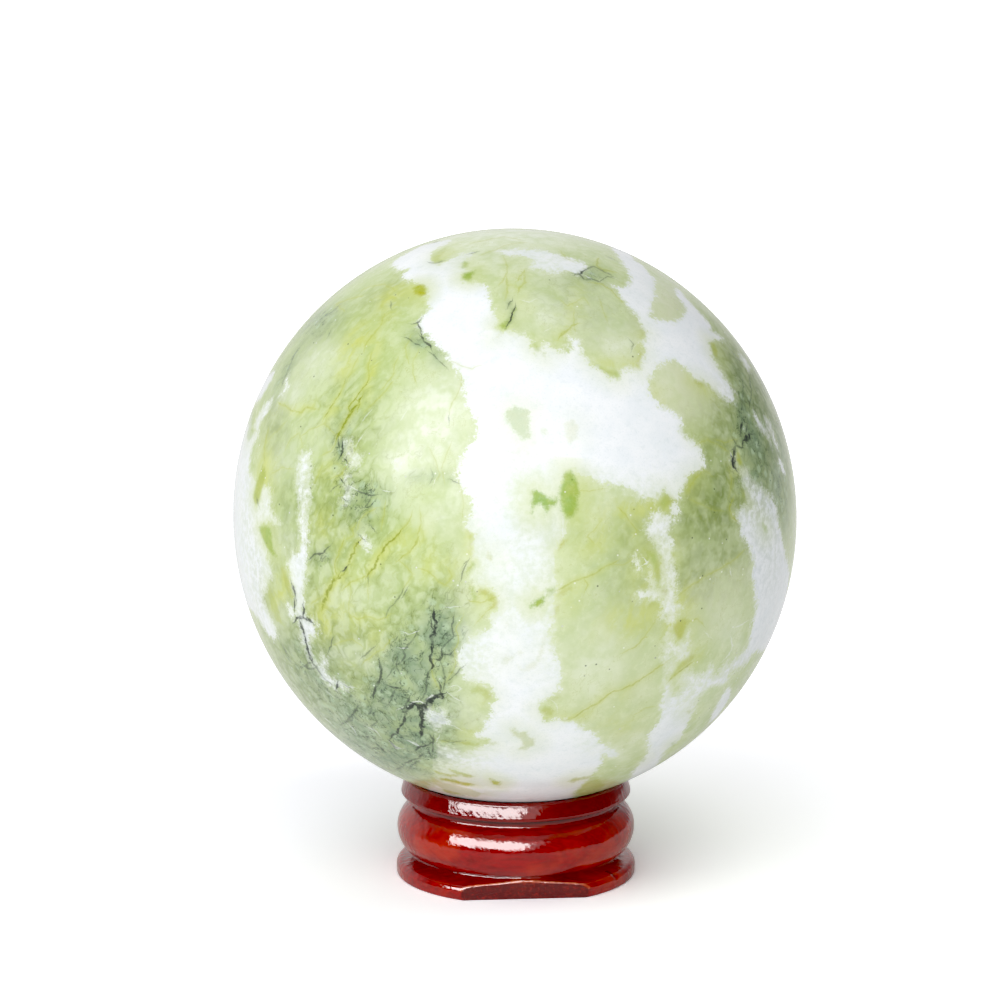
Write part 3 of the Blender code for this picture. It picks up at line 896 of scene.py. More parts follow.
    ("d", 0.8, 0.5, "396,770 404,768"),
    ("d", 0.8, 0.5, "408,772 412,766 420,762"),
    ("d", 0.7, 0.5, "398,658 396,668 400,676"),
    ("d", 0.7, 0.4, "384,716 390,724 396,728"),
    ("d", 0.7, 0.4, "444,742 452,744 462,743"),
    # right side
    ("d", 1.5, 0.9, "743,423 742,432"),
    ("d", 1.0, 0.7, "748,424 747,432"),
    ("d", 2.8, 1.0, "745,441 748,437 752,435"),
    ("d", 1.1, 0.8, "743,441 744,446"),
    ("d", 2.2, 1.0, "736,448 734,456 734,463 737,469"),
    ("d", 1.0, 0.7, "733,450 738,446 744,448"),
    ("d", 1.0, 0.7, "736,468 733,463"),
    ("d", 1.0, 0.6, "734,440 738,446"),
    ("d", 0.8, 0.5, "754,402 755,412"),
    ("d", 0.8, 0.5, "730,348 736,356 742,362"),
    ("d", 0.7, 0.4, "743,380 744,396 742,410"),
    ("d", 0.7, 0.4, "750,376 752,392 750,408"),
    ("d", 0.7, 0.5, "730,502 732,504"),
    ("d", 0.6, 0.4, "630,340 634,344 632,350"),
    ("d", 0.6, 0.4, "614,277 610,276"),
    ("d", 0.8, 0.5, "608,256 614,259"),
    ("d", 0.8, 0.5, "452,482 458,484"),
    ("d", 0.8, 0.35, "430,484 434,478 432,472"),
    ("d", 0.9, 0.5, "449,417 449,421"),
    ("d", 0.8, 0.5, "468,563 463,574 461,582"),
    ("d", 0.8, 0.5, "464,566 468,562"),
    ("d", 0.9, 0.6, "470,253 476,252"),
    ("d", 1.2, 0.6, "434,242 437,241"),
    ("d", 0.7, 0.5, "428,262 436,263 444,261"),
    ("d", 0.9, 0.5, "391,303 391,307"),
    ("d", 0.8, 0.4, "328,336 330,332"),
    ("d", 0.7, 0.45, "340,304 332,311 324,316 316,322"),
    ("d", 0.7, 0.45, "300,347 294,354 290,364 286,374 281,386"),
    ("d", 0.8, 0.5, "256,498 258,506"),
    # white threads; those hugging the dark cracks by the crack knot and below it stand partly for white stone and
    # partly for glints on the cracks' edges, a painted highlight
    ("w", 0.9, 0.9, "408,709 414,703 420,703 426,706"),
    ("w", 0.9, 0.9, "426,703 432,698 438,700"),
    ("w", 0.8, 0.8, "398,711 404,709"),
    ("w", 1.1, 0.8, "407,742 414,744 420,748"),
    ("w", 1.3, 0.9, "390,744 396,749 401,750"),
    ("w", 0.8, 0.7, "404,634 410,636 418,633"),
    ("w", 0.9, 0.8, "400,650 406,650"),
    ("w", 0.8, 0.6, "447,694 455,699 462,703"),
    ("w", 0.7, 0.6, "450,689 457,687 462,691 457,694"),
    ("w", 0.7, 0.5, "446,725 454,728 462,732"),
    ("w", 0.7, 0.5, "558,712 557,706 552,702"),
    ("w", 0.8, 0.6, "342,686 348,689 357,690"),
    ("w", 0.9, 0.6, "326,692 332,698"),
    ("w", 1.1, 0.7, "324,719 330,724"),
    ("w", 0.8, 0.6, "346,724 354,731 356,735"),
    ("w", 0.8, 0.6, "366,728 376,733 380,738"),
    ("w", 0.7, 0.5, "520,300 530,302 536,299"),
    ("w", 0.7, 0.5, "546,331 550,329"),
    ("w", 0.8, 0.5, "564,520 563,530 565,540"),
    ("w", 1.0, 0.8, "586,276 592,279"),
    ("w", 0.8, 0.6, "358,492 350,488"),
    ("w", 0.7, 0.6, "382,492 390,493"),
    ("w", 0.9, 0.6, "436,480 434,486"),
    ("w", 0.7, 0.5, "400,422 408,410"),
    ("w", 0.7, 0.4, "360,425 366,416 372,410"),
    ("w", 0.8, 0.5, "363,436 358,444"),
    ("w", 1.0, 0.8, "731,571 732,576"),
    ("w", 1.1, 0.9, "645,560 648,564 644,566"),
    ("w", 0.7, 0.5, "637,344 634,348"),
    ("w", 0.8, 0.6, "736,628 742,626 748,622"),
    ("w", 1.0, 0.6, "732,638 733,648 730,656 724,662"),
    ("w", 0.8, 0.5, "712,640 706,634"),
    ("w", 0.7, 0.6, "731,452 734,462"),
    ("w", 0.8, 0.6, "440,738 436,744"),
    ("w", 0.8, 0.5, "446,609 452,609 460,608"),
    ("w", 0.8, 0.5, "462,648 460,660 468,672"),
]


def chart_poly(text):
    return chart_of(*pts(text).T)


def px_to_mm(x, y):
    """Local scale of the chart at a pixel: millimetres for one pixel, about the same along and across."""
    a, b = chart_of([x, x], [y, y + 1.0])
    c, d = chart_of([x, x + 1.0], [y, y])
    return math.sqrt(abs(np.linalg.det(np.stack([b - a, d - c]))))


def pattern(p):
    """All fields of the pattern at chart points p."""
    out = {}
    out["white"] = union_sdf(p, [chart_poly(t) for t in WHITE])

    isle = np.full(len(p), -12.0)
    hue = np.zeros(len(p))
    power = np.zeros(len(p))
    for text, yellow, strong in ISLES:
        poly = chart_poly(text)
        lo, hi = poly.min(0) - 8.0, poly.max(0) + 8.0
        near = np.flatnonzero(np.all((p > lo) & (p < hi), axis=1))
        if len(near):
            d = polygon_sdf(p[near], poly)
            better = d > isle[near]
            sel = near[better]
            isle[sel] = d[better]
            hue[sel], power[sel] = yellow, strong
    out["isle"], out["isle_hue"], out["isle_power"] = isle, hue, power

    for kind in ("yellow", "deep", "olive", "dark", "milk", "beige", "haze", "veil", "net", "lime"):
        out["z_" + kind] = np.zeros(len(p))
    for line in ZONES.strip().splitlines():
        kind, at, size, turn, strength = line.split()
        x, y = (float(v) for v in at.split(","))
        a, b = (float(v) for v in size.split(","))
        c = chart_of([x], [y])[0]
        t = math.radians(float(turn))
        # the zone's axes as short strokes on the picture, carried to the chart
        ux = chart_of([x + a * 0.2 * math.cos(t)], [y - a * 0.2 * math.sin(t)])[0] - c
        uy = chart_of([x + b * 0.2 * math.sin(t)], [y + b * 0.2 * math.cos(t)])[0] - c
        m = np.stack([ux, uy], 1) * 5.0
        if abs(np.linalg.det(m)) < 1e-6:
            continue
        q = (p - c) @ np.linalg.inv(m).T
        w = float(strength) * np.exp(-1.1 * (q**2).sum(1))
        key = "z_" + kind
        out[key] = 1.0 - (1.0 - out[key]) * (1.0 - np.clip(w, 0, 1))

    # thin veins: each kind is shared out over channels, so that near neighbours don't mix
    channels = {"y": 4, "d": 4, "w": 2}
    placed = {k: [[] for _ in range(n)] for k, n in channels.items()}
    for kind, half_px, strength, text in VEINS:
        line = chart_of(*pts(text).T)
        mid = line.mean(0)
        reach = np.linalg.norm(line - mid, axis=1).max()
        best = None
        for i, held in enumerate(placed[kind]):
            gap = min([np.linalg.norm(mid - m2) - reach - r2 for m2, r2, *_ in held], default=1e9)
            if best is None or gap > best[0]:
                best = (gap, i)
        x, y = pts(text).mean(0)
        half = half_px * px_to_mm(x, y)
        placed[kind][best[1]].append((mid, reach, line, half, strength))
    for kind, groups in placed.items():
        for i, held in enumerate(groups):
            near_d = np.full(len(p), 1e9)
            side_d = np.full(len(p), 30.0)
            power = np.zeros(len(p))
            for mid, reach, line, half, strength in held:
                ok = np.flatnonzero(((p - mid) ** 2).sum(1) < (reach + 3.0) ** 2)
                if not len(ok):
                    continue
                q = p[ok]
                seg = np.linalg.norm(np.diff(line, axis=0), axis=1)
                total, run = seg.sum(), 0.0
                d_best = np.full(len(ok), 1e9)
                s_best = np.zeros(len(ok))
                t_best = np.zeros(len(ok))
                for j in range(len(line) - 1):
                    d, s, t = seg_dist(q, line[j], line[j + 1])
                    b = d < d_best
                    d_best = np.where(b, d, d_best)
                    s_best = np.where(b, np.sign(s), s_best)
                    t_best = np.where(b, (run + t * seg[j]) / total, t_best)
                    run += seg[j]
                taper = np.clip(np.minimum(t_best, 1 - t_best) * total / 1.2 + 0.35, 0.0, 1.0)
                w = strength * np.clip(1.6 - d_best / 0.9, 0.0, 1.0)
                b = d_best < near_d[ok]
                sel = ok[b]
                near_d[sel] = d_best[b]
                side_d[sel] = (d_best * s_best / (half * taper))[b]
                power[sel] = w[b]
            out[f"v{kind}{i}_d"] = np.clip(side_d, -30, 30)
            out[f"v{kind}{i}_s"] = power
    return out


def outward(points, faces):
    """The same quads, wound so that the closed mesh faces outwards."""
    p, f = np.asarray(points, float), np.asarray(faces)
    volume = sum(
        np.einsum("ij,ij->i", p[f[:, 0]], np.cross(p[f[:, a]], p[f[:, b]])).sum() for a, b in ((1, 2), (2, 3))
    )
    return (f if volume > 0 else f[:, ::-1]).tolist()


# ============================================================ the ball
def ball_directions(n):
    """A cube of n cells an edge blown up to a sphere: unit vertices and quads. The caller makes +Z the dense pole."""
    key, verts, quads = {}, [], []
    ticks = np.tan(np.linspace(-math.pi / 4, math.pi / 4, n + 1))
    faces = [
        (np.array([1, 0, 0]), np.array([0, 1, 0]), np.array([0, 0, 1])),
        (np.array([0, 1, 0]), np.array([1, 0, 0]), np.array([0, 0, -1])),
        (np.array([0, 1, 0]), np.array([0, 0, 1]), np.array([1, 0, 0])),
        (np.array([0, 0, 1]), np.array([0, 1, 0]), np.array([-1, 0, 0])),
        (np.array([0, 0, 1]), np.array([1, 0, 0]), np.array([0, 1, 0])),
        (np.array([1, 0, 0]), np.array([0, 0, 1]), np.array([0, -1, 0])),
    ]
    for u, v, w in faces:
        ids = np.empty((n + 1, n + 1), int)
        for i in range(n + 1):
            for j in range(n + 1):
                p = w + u * ticks[i] + v * ticks[j]
                k = (round(p[0], 6), round(p[1], 6), round(p[2], 6))
                if k not in key:
                    key[k] = len(verts)
                    verts.append(p)
                ids[i, j] = key[k]
        for i in range(n):
            for j in range(n):
                quads.append((ids[i, j], ids[i + 1, j], ids[i + 1, j + 1], ids[i, j + 1]))
    verts = np.array(verts, float)
    return verts / np.linalg.norm(verts, axis=1)[:, None], np.array(quads)


N = 128
dirs, quads = ball_directions(N)
# more vertices towards the side with the drawn detail
theta = np.arccos(np.clip(dirs[:, 2], -1, 1))
phi = np.arctan2(dirs[:, 1], dirs[:, 0])
theta = theta - 0.32 * np.sin(theta)
dirs = np.stack([np.sin(theta) * np.cos(phi), np.sin(theta) * np.sin(phi), np.cos(theta)], 1)

# chart coordinates: front from the camera's side, and the hidden side from the same set of shapes turned and mirrored
chart_front = (theta * R)[:, None] * np.stack([np.cos(phi), np.sin(phi)], 1)
turn = math.radians(118.0)
back_r = (math.pi - theta) * R
chart_back = back_r[:, None] * np.stack([np.cos(turn - phi), np.sin(turn - phi)], 1)
mix_back = np.clip((theta - math.radians(91.0)) / math.radians(14.0), 0.0, 1.0)
mix_back = mix_back * mix_back * (3 - 2 * mix_back)

use_front = np.flatnonzero(mix_back < 1.0)
use_back = np.flatnonzero(mix_back > 0.0)
f_front = pattern(chart_front[use_front])
f_back = pattern(chart_back[use_back])
fields = {}
for name in f_front:
    value = np.zeros(len(dirs))
    value[use_front] += f_front[name] * (1.0 - mix_back[use_front])
    value[use_back] += f_back[name] * mix_back[use_back]
    fields[name] = value

# camera axes to world
axes = np.array([cam_right[:], cam_up[:], to_cam[:]])
world_dirs = dirs @ axes
long_axis = np.array([-math.sin(BALL_LEAN), 0.0, math.cos(BALL_LEAN)])
along = world_dirs @ long_axis
shape = world_dirs * BALL_CROSS + np.outer(along, long_axis) * (BALL_LONG - BALL_CROSS)
shape *= 0.9979

# cracks are shallow real grooves in the polish
depth = np.zeros(len(dirs))
for i in range(4):
    near_line = np.exp(-((fields[f"vd{i}_d"] / 1.6) ** 2))
    depth += 0.055 * near_line * fields[f"vd{i}_s"]
shape -= world_dirs * depth[:, None]

mesh = bpy.data.meshes.new("stone_ball")
mesh.from_pydata((shape * MM).tolist(), [], outward(shape, quads))
mesh.validate()
for name, value in fields.items():
    a = mesh.attributes.new(name, "FLOAT", "POINT")
    a.data.foreach_set("value", value.astype(np.float32))
mesh.shade_smooth()
ball = bpy.data.objects.new("stone_ball", mesh)
bpy.context.scene.collection.objects.link(ball)
ball.location = BALL_CENTRE
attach(ball, "root")
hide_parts("stone_sphere")


# ============================================================ stone material
stone, N_, bsdf, out_node = new_material("polished_serpentine")
geo = N_.new("ShaderNodeTexCoord")
pos = N_.vec("SCALE", geo.outputs["Object"], scale=1000.0)  # millimetres

n_mid, n_mid_c = N_.noise(pos, 0.20, 3, 0.6)
n_fine, _ = N_.noise(pos, 0.9, 3, 0.62)
n_grain, _ = N_.noise(pos, 3.4, 2, 0.6)
n_edge, _ = N_.noise(N_.vec("ADD", pos, (5.0, 17.0, 9.0)), 1.1, 4, 0.74)
n_soft, _ = N_.noise(N_.vec("ADD", pos, (31.0, 7.0, 3.0)), 0.42, 2, 0.6)


def flow(turn, stretch, offset):
    """Coordinates pulled out along one direction of the front, so that noise on them runs in fibres."""
    m = N_.new("ShaderNodeMapping", vector_type="TEXTURE")
    m.inputs["Location"].default_value = offset
    m.inputs["Rotation"].default_value = (0.0, math.radians(turn), 0.0)
    m.inputs["Scale"].default_value = (1.0, 1.0, stretch)
    N_.put(m.inputs["Vector"], N_.vec("ADD", pos, N_.vec("SCALE", n_mid_c, scale=5.0)))
    return m.outputs[0]


fib, fib_c = N_.noise(flow(26, 3.2, (0.0, 0.0, 0.0)), 0.42, 3, 0.6)
fib_sep = N_.new("ShaderNodeSeparateColor")
N_.put(fib_sep.inputs[0], fib_c)
ridge_a = N_.math("ABSOLUTE", N_.sub(fib_sep.outputs[0], 0.5))
ridge_b = N_.math("ABSOLUTE", N_.sub(fib_sep.outputs[1], 0.5))
ridge_c = N_.math("ABSOLUTE", N_.sub(n_soft, 0.5))


def zone(name, gain=1.0, cloud=None, spread=1.0):
    """A soft zone whose body is broken up by a cloud."""
    c = n_mid if cloud is None else cloud
    body = N_.math("ADD", 1.0 - 0.5 * spread, N_.mul(N_.ramp(c, 0.34, 0.66), spread))
    return N_.math("MULTIPLY", N_.mul(N_.attr("z_" + name), body), gain, clamp=True)


# ---- green body
green = N_.mix(N_.ramp(n_mid, 0.34, 0.66), srgb(194, 211, 151), srgb(215, 227, 182))
green = N_.mix(N_.mul(N_.ramp(fib, 0.42, 0.66), 0.45), green, srgb(195, 211, 146))
green = N_.mix(N_.mul(N_.ramp(n_fine, 0.5, 0.75), 0.40), green, srgb(232, 239, 208))
green = N_.mix(N_.mul(N_.ramp(n_grain, 0.52, 0.75), 0.22), green, srgb(186, 202, 150))
green = N_.mix(zone("beige", 0.95, n_soft, 0.5), green, srgb(219, 226, 190))
green = N_.mix(zone("lime", 0.75, n_soft, 0.6), green, srgb(184, 203, 128))
green = N_.mix(zone("deep", 0.85, n_soft, 0.9), green, srgb(172, 191, 126))
# partly painted shade: the olive zones along the right limb darken that side of the ball beyond the stone's own olive
green = N_.mix(zone("olive", 0.92, n_soft, 0.6), green, srgb(139, 156, 94))
green = N_.mix(zone("yellow", 0.75, fib, 1.1), green, srgb(203, 211, 108))
# milky stone, with some milk zones a painted highlight and painted light
green = N_.mix(zone("milk", 0.8, n_soft, 0.8), green, srgb(236, 243, 224))
# partly painted shade: the dark zones along the right limb darken that side of the ball beyond the stone's own colour
green = N_.mix(zone("dark", 0.85, n_mid, 0.9), green, srgb(134, 158, 126))

# ---- the stone's net: pale lumps parted by thin seams
shade = N_.math("ADD", N_.attr("z_dark"), N_.mul(N_.attr("z_deep"), 0.35), clamp=True)
net = N_.attr("z_net")
cell = N_.voronoi(N_.vec("ADD", flow(26, 1.7, (0.0, 0.0, 0.0)), N_.vec("SCALE", fib_c, scale=3.4)), 0.36, feature="DISTANCE_TO_EDGE")
speck_node = N_.new("ShaderNodeTexVoronoi", feature="F1", voronoi_dimensions="3D")
N_.put(speck_node.inputs["Vector"], pos)
speck_node.inputs["Scale"].default_value = 0.50
small = speck_node.outputs["Distance"]
here = N_.mul(net, N_.ramp(n_soft, 0.40, 0.62), N_.ramp(n_mid, 0.36, 0.58, 0.35, 1.0))
lump = N_.mul(N_.ramp(cell, 0.03, 0.30), N_.add(0.06, N_.mul(net, 0.33)))
green = N_.mix(N_.mul(lump, N_.ramp(shade, 0.3, 0.9, 1.0, 0.35)), green, srgb(226, 236, 202))
seam_wide = N_.mul(N_.ramp(cell, 0.0, 0.17, 1.0, 0.0), here)
seam = N_.mul(N_.ramp(cell, 0.004, 0.036, 1.0, 0.0), here, N_.ramp(n_fine, 0.30, 0.55))
lump_small = N_.mul(N_.ramp(N_.add(small, N_.mul(N_.sub(n_fine, 0.5), 0.5)), 0.42, 0.20), N_.ramp(shade, 0.15, 0.7))
green = N_.mix(N_.mul(seam_wide, N_.ramp(shade, 0.1, 0.6, 0.15, 0.40)), green, N_.mix(shade, srgb(170, 185, 98), srgb(104, 128, 98)))
green = N_.mix(N_.mul(seam, N_.ramp(shade, 0.1, 0.6, 0.36, 0.95)), green, N_.mix(shade, srgb(142, 156, 62), srgb(36, 52, 44)))
green = N_.mix(N_.mul(lump_small, 0.62), green, srgb(184, 206, 170))
lines = N_.math("MAXIMUM", N_.ramp(ridge_a, 0.0, 0.018, 1.0, 0.0), N_.mul(N_.ramp(ridge_b, 0.0, 0.014, 1.0, 0.0), 0.8))
lines = N_.mul(lines, N_.ramp(n_fine, 0.36, 0.60), N_.ramp(shade, 0.15, 0.8))
green = N_.mix(N_.mul(lines, 0.8), green, srgb(46, 64, 54))

# faint yellow loops elsewhere in the green
loops = N_.math("MAXIMUM", N_.ramp(ridge_c, 0.0, 0.008, 1.0, 0.0), N_.mul(N_.ramp(ridge_b, 0.0, 0.010, 1.0, 0.0), 0.8))
loops = N_.mul(loops, N_.ramp(n_mid, 0.40, 0.60), N_.ramp(shade, 0.0, 0.5, 1.0, 0.15))
green = N_.mix(N_.mul(loops, 0.32), green, srgb(170, 180, 78))

# ---- white
w_sdf = N_.attr("white")
w_in = N_.add(w_sdf, N_.mul(N_.attr("z_veil"), -0.6), N_.mul(N_.sub(n_edge, 0.5), 4.2), N_.mul(N_.sub(n_soft, 0.5), 2.0), N_.mul(N_.sub(n_grain, 0.5), 1.7))
veil = N_.attr("z_veil")
feather = N_.add(0.10, N_.mul(N_.ramp(fib_sep.outputs[2], 0.44, 0.64), 0.75), N_.mul(veil, 1.1))
white_mask = N_.ramp(w_in, N_.mul(feather, -1.1), N_.mul(feather, 1.0))
white_mask = N_.mul(white_mask, N_.sub(1.0, N_.mul(veil, N_.ramp(n_fine, 0.36, 0.62, 0.15, 0.9))))
white_col = N_.mix(N_.ramp(n_mid, 0.35, 0.7), srgb(250, 253, 255), srgb(243, 248, 251))
white_col = N_.mix(N_.mul(N_.ramp(n_fine, 0.52, 0.75), 0.45), white_col, srgb(228, 236, 239))
white_col = N_.mix(N_.mul(N_.ramp(n_grain, 0.50, 0.72), 0.30), white_col, srgb(220, 229, 233))
# the same milk zones, partly painted highlight and painted light
white_col = N_.mix(zone("milk", 0.75, n_fine, 1.0), white_col, srgb(222, 232, 214))
white_col = N_.mix(zone("haze", 0.8, n_fine, 1.0), white_col, srgb(214, 221, 226))
white_col = N_.mix(N_.mul(N_.ramp(w_in, 1.1, 0.1), 0.4), white_col, srgb(226, 234, 220))
halo = N_.mul(N_.ramp(w_in, -1.5, 0.1), 0.34)
col = N_.mix(halo, green, srgb(232, 238, 218))
col = N_.mix(white_mask, col, white_col)

# ---- islands of strong green and olive
i_sdf = N_.add(N_.attr("isle"), N_.mul(N_.sub(n_edge, 0.5), 1.6), N_.mul(N_.sub(n_grain, 0.5), 0.5))
isle_mask = N_.ramp(i_sdf, -0.30, 0.75)
isle_glow = N_.mul(N_.ramp(i_sdf, -5.0, 0.2), 0.5)
isle_power = N_.attr("isle_power")
isle_hue = N_.math("ADD", N_.attr("isle_hue"), N_.mul(N_.sub(n_soft, 0.5), 0.9), clamp=True)
isle_col = N_.mix(isle_hue, srgb(138, 178, 74), srgb(180, 184, 52))
isle_col = N_.mix(N_.mul(N_.ramp(n_fine, 0.42, 0.7), 0.4), isle_col, srgb(178, 196, 92))
col = N_.mix(N_.mul(isle_glow, isle_power), col, srgb(206, 218, 146))
col = N_.mix(N_.mul(isle_mask, isle_power, N_.ramp(n_edge, 0.25, 0.55, 0.75, 1.0)), col, isle_col)

# ---- thin veins
wander = N_.add(N_.mul(N_.sub(n_soft, 0.5), 5.0), N_.mul(N_.sub(n_edge, 0.5), 3.4))
thin = N_.ramp(n_fine, 0.32, 0.58)
beads = N_.ramp(n_fine, 0.34, 0.52)


def vein(kind, i, lo, hi):
    d = N_.math("ABSOLUTE", N_.add(N_.attr(f"v{kind}{i}_d"), wander))
    return N_.mul(N_.ramp(d, lo, hi, 1.0, 0.0), N_.attr(f"v{kind}{i}_s"))


def group(kind, count, lo, hi):
    out = vein(kind, 0, lo, hi)
    for i in range(1, count):
        out = N_.math("MAXIMUM", out, vein(kind, i, lo, hi))
    return out


veins_y = N_.mul(group("y", 4, 0.15, 1.50), N_.add(0.50, N_.mul(thin, 0.50)))
glow_y = N_.mul(group("y", 4, 1.0, 6.5), 0.42)
veins_d = N_.mul(group("d", 4, 0.60, 1.15), N_.add(0.40, N_.mul(beads, 0.60)))
glow_d = N_.mul(group("d", 4, 0.8, 5.5), 0.34)
veins_w = N_.mul(group("w", 2, 0.4, 1.3), N_.add(0.4, N_.mul(beads, 0.6)))
col = N_.mix(N_.mul(glow_y, 0.8), col, srgb(198, 206, 108))
col = N_.mix(N_.mul(veins_y, 0.85), col, N_.mix(N_.ramp(veins_y, 0.35, 0.95), srgb(180, 190, 76), srgb(140, 152, 40)))
col = N_.mix(N_.mul(glow_d, 0.9), col, srgb(134, 156, 116))
# white threads, partly painted glints beside the cracks
col = N_.mix(N_.mul(veins_w, 0.75), col, srgb(240, 245, 242))
col = N_.mix(N_.mul(veins_d, 0.92), col, srgb(28, 38, 36))

# ---- specks: dark ones in the green, most of them in its deeper parts, and pale crumbs
pick = N_.new("ShaderNodeSeparateColor")
N_.put(pick.inputs[0], speck_node.outputs["Color"])
in_green = N_.ramp(w_in, -0.5, 0.4, 1.0, 0.0)
speck = N_.mul(N_.ramp(speck_node.outputs["Distance"], 0.05, 0.11, 1.0, 0.0), in_green)
speck_dark = N_.mul(speck, N_.ramp(N_.add(pick.outputs[0], N_.mul(shade, 0.5)), 0.74, 0.80))
speck_pale = N_.mul(speck, N_.ramp(pick.outputs[1], 0.60, 0.66))
col = N_.mix(N_.mul(speck_dark, 0.72), col, srgb(66, 80, 48))
col = N_.mix(N_.mul(speck_pale, 0.7), col, srgb(242, 246, 236))

N_.put(bsdf.inputs["Base Color"], col)
bsdf.inputs["IOR"].default_value = 1.5
bsdf.inputs["Specular IOR Level"].default_value = 0.5
rough = N_.add(0.12, N_.mul(n_fine, 0.08), N_.mul(veins_d, 0.25))
N_.put(bsdf.inputs["Roughness"], rough)

bump = N_.new("ShaderNodeBump")
bump.inputs["Strength"].default_value = 1.0
bump.inputs["Distance"].default_value = 0.000012
N_.put(bump.inputs["Height"], N_.noise(pos, 1.6, 1, 0.55)[0])
N_.put(bsdf.inputs["Normal"], bump.outputs[0])
ball.data.materials.append(stone)


# ============================================================ the ring stand
def arc(cr, cz, a, b, start, end, steps):
    t = np.linspace(start, end, steps + 1)
    return np.stack([cr + a * np.cos(t), cz + b * np.sin(t)], 1)


def circle_fillet(c, r, start, end, steps):
    return arc(c[0], c[1], r, r, start, end, steps)


def stand_section():
    """The turned section in millimetres, closed, from the rim down the outside."""
    deg = math.radians
    lip = smooth_line([
        (18.75, 17.70), (19.10, 17.62), (19.42, 17.40), (19.60, 17.12), (19.77, 16.76), (19.96, 16.28),
        (20.12, 15.80), (20.24, 15.40), (20.32, 15.12), (20.34, 14.88), (20.25, 14.66), (19.98, 14.50),
        (19.40, 14.40), (18.60, 14.32), (18.12, 14.16), (18.05, 13.90), (18.07, 13.40),
    ], 4)
    # the neck runs into the bead through a small hollow
    hollow_a = arc(18.87, 13.34, 0.80, 0.80, deg(180), deg(238), 12)
    bead_up = arc(15.55, 8.5, 5.50, 5.00, deg(55), deg(0), 34)
    bead_low = arc(16.55, 8.5, 4.50, 5.10, deg(0), deg(-50), 26)[1:]
    waist = smooth_line([(19.20, 4.46), (18.60, 4.40), (17.90, 4.42), (17.62, 4.34), (17.60, 4.16)], 3)
    hollow_b = arc(18.70, 4.08, 1.10, 1.10, deg(180), deg(254), 14)
    top = np.stack([np.linspace(18.5, 19.9, 20), np.linspace(2.985, 2.68, 20)], 1)
    edge = arc(20.0, 1.4, 1.20, 1.23, deg(84), deg(0), 16)
    side = np.array([[21.2, 1.1], [21.2, 0.8], [21.2, 0.45]])
    foot = arc(20.9, 0.30, 0.28, 0.30, deg(0), deg(-90), 5)
    under = np.array([
        [18.5, 0.0], [15.5, 0.0], [13.5, 0.0], [13.15, 0.12], [13.0, 0.45], [13.0, 4.0], [13.0, 8.0], [13.0, 12.0],
        [13.0, 13.6], [13.15, 14.05], [13.6, 14.38], [15.0, 15.10], [17.0, 16.20], [18.3, 16.95], [18.6, 17.30],
    ])
    return np.concatenate([lip, hollow_a, bead_up, bead_low, waist, hollow_b, top, edge, side, foot, under])


def smooth_line(points, steps):
    """A rounded line through the points (Catmull-Rom)."""
    p = np.array([points[0]] + list(points) + [points[-1]], float)
    out = []
    for i in range(1, len(p) - 2):
        a, b, c, d = p[i - 1 : i + 3]
        for k in range(steps):
            t = k / steps
            out.append(0.5 * (2 * b + (c - a) * t + (2 * a - 5 * b + 4 * c - d) * t * t + (3 * b - a - 3 * c + d) * t**3))
    out.append(p[-2])
    return np.array(out)


def smooth_noise(seed, n_waves, x, y):
    """A repeatable smooth ripple over angle x (radians) and height y (mm), about -1..1."""
    rng = np.random.default_rng(seed)
    out = np.zeros(np.broadcast(x, y).shape)
    for _ in range(n_waves):
        k = rng.integers(1, 14)
        f = rng.uniform(0.1, 1.1)
        out = out + rng.uniform(0.4, 1.0) / (1 + 0.15 * k) * np.sin(k * x + f * y + rng.uniform(0, 6.28))
    return out / math.sqrt(n_waves)


section = stand_section()
STEPS = 424
ang = np.arange(STEPS) * (2 * math.pi / STEPS)
rr = section[:, 0][None, :].repeat(STEPS, 0)
zz = section[:, 1][None, :].repeat(STEPS, 0)
aa = ang[:, None].repeat(len(section), 1)
# hand-turned and dipped: outer faces wander by a few hundredths of a millimetre, always inwards
outer = (rr > 14.0) & (zz > 0.05)
wander = 0.030 * (smooth_noise(4, 14, aa, zz) - 1.6) + 0.012 * (smooth_noise(9, 16, aa * 3, zz * 2.3) - 1.6)
rr = np.where(outer & (zz < 17.2), rr + wander * 0.5, rr)

x = rr * np.sin(aa)
y = -rr * np.cos(aa)
# the flat on the flange's front: a plane 18 mm out, its upper edge worn round
turn_f = math.radians(5.0)
nx, ny = math.sin(turn_f), -math.cos(turn_f)
low = zz < 3.35
worn = 0.20 + 0.06 * np.sin(aa * 23.0 + 1.0) + 0.04 * np.sin(aa * 51.0)
out_d = x * nx + y * ny - 18.0
g = np.clip((out_d + worn) / worn, 0.0, 1.0)
fall = (1.0 - np.sqrt(np.clip(1.0 - g**2, 0.0, 1.0))) * low
zz = zz * (1.0 - 0.09 * fall)
sink = np.clip(out_d, 0.0, None) * low
x -= sink * nx
y -= sink * ny
facet = np.clip((out_d + 0.02) / 0.06, 0.0, 1.0) * low
# painted highlight: a bright orange-white line along the flat's worn upper edge, standing in for the softbox's
# reflection on that edge
painted_edge_highlight = np.exp(-(((out_d + 0.14) / 0.13) ** 2)) * low * (zz > 1.6) * (0.65 + 0.35 * np.sin(aa * 67.0) * np.sin(aa * 31.0))
# painted shade: the groove under the lip and the one under the bead are marked for a near-black colour, standing in
# for the shade in these recesses
groove_painted_shade = np.exp(-(((zz - 14.0) / 0.42) ** 2)) * (rr < 18.9) + np.exp(-(((zz - 4.42) / 0.30) ** 2)) * (rr < 19.3)
groove_painted_shade = np.clip(groove_painted_shade * (rr > 15.0), 0.0, 1.0)
# a small nick in the flange at the front right
nick = np.exp(-(((aa - math.radians(57.0)) * 20.6 / 0.42) ** 2) - ((zz - 2.55) / 0.75) ** 2) * (rr > 19.0)
x -= 0.55 * nick * np.sin(aa)
y += 0.55 * nick * np.cos(aa)

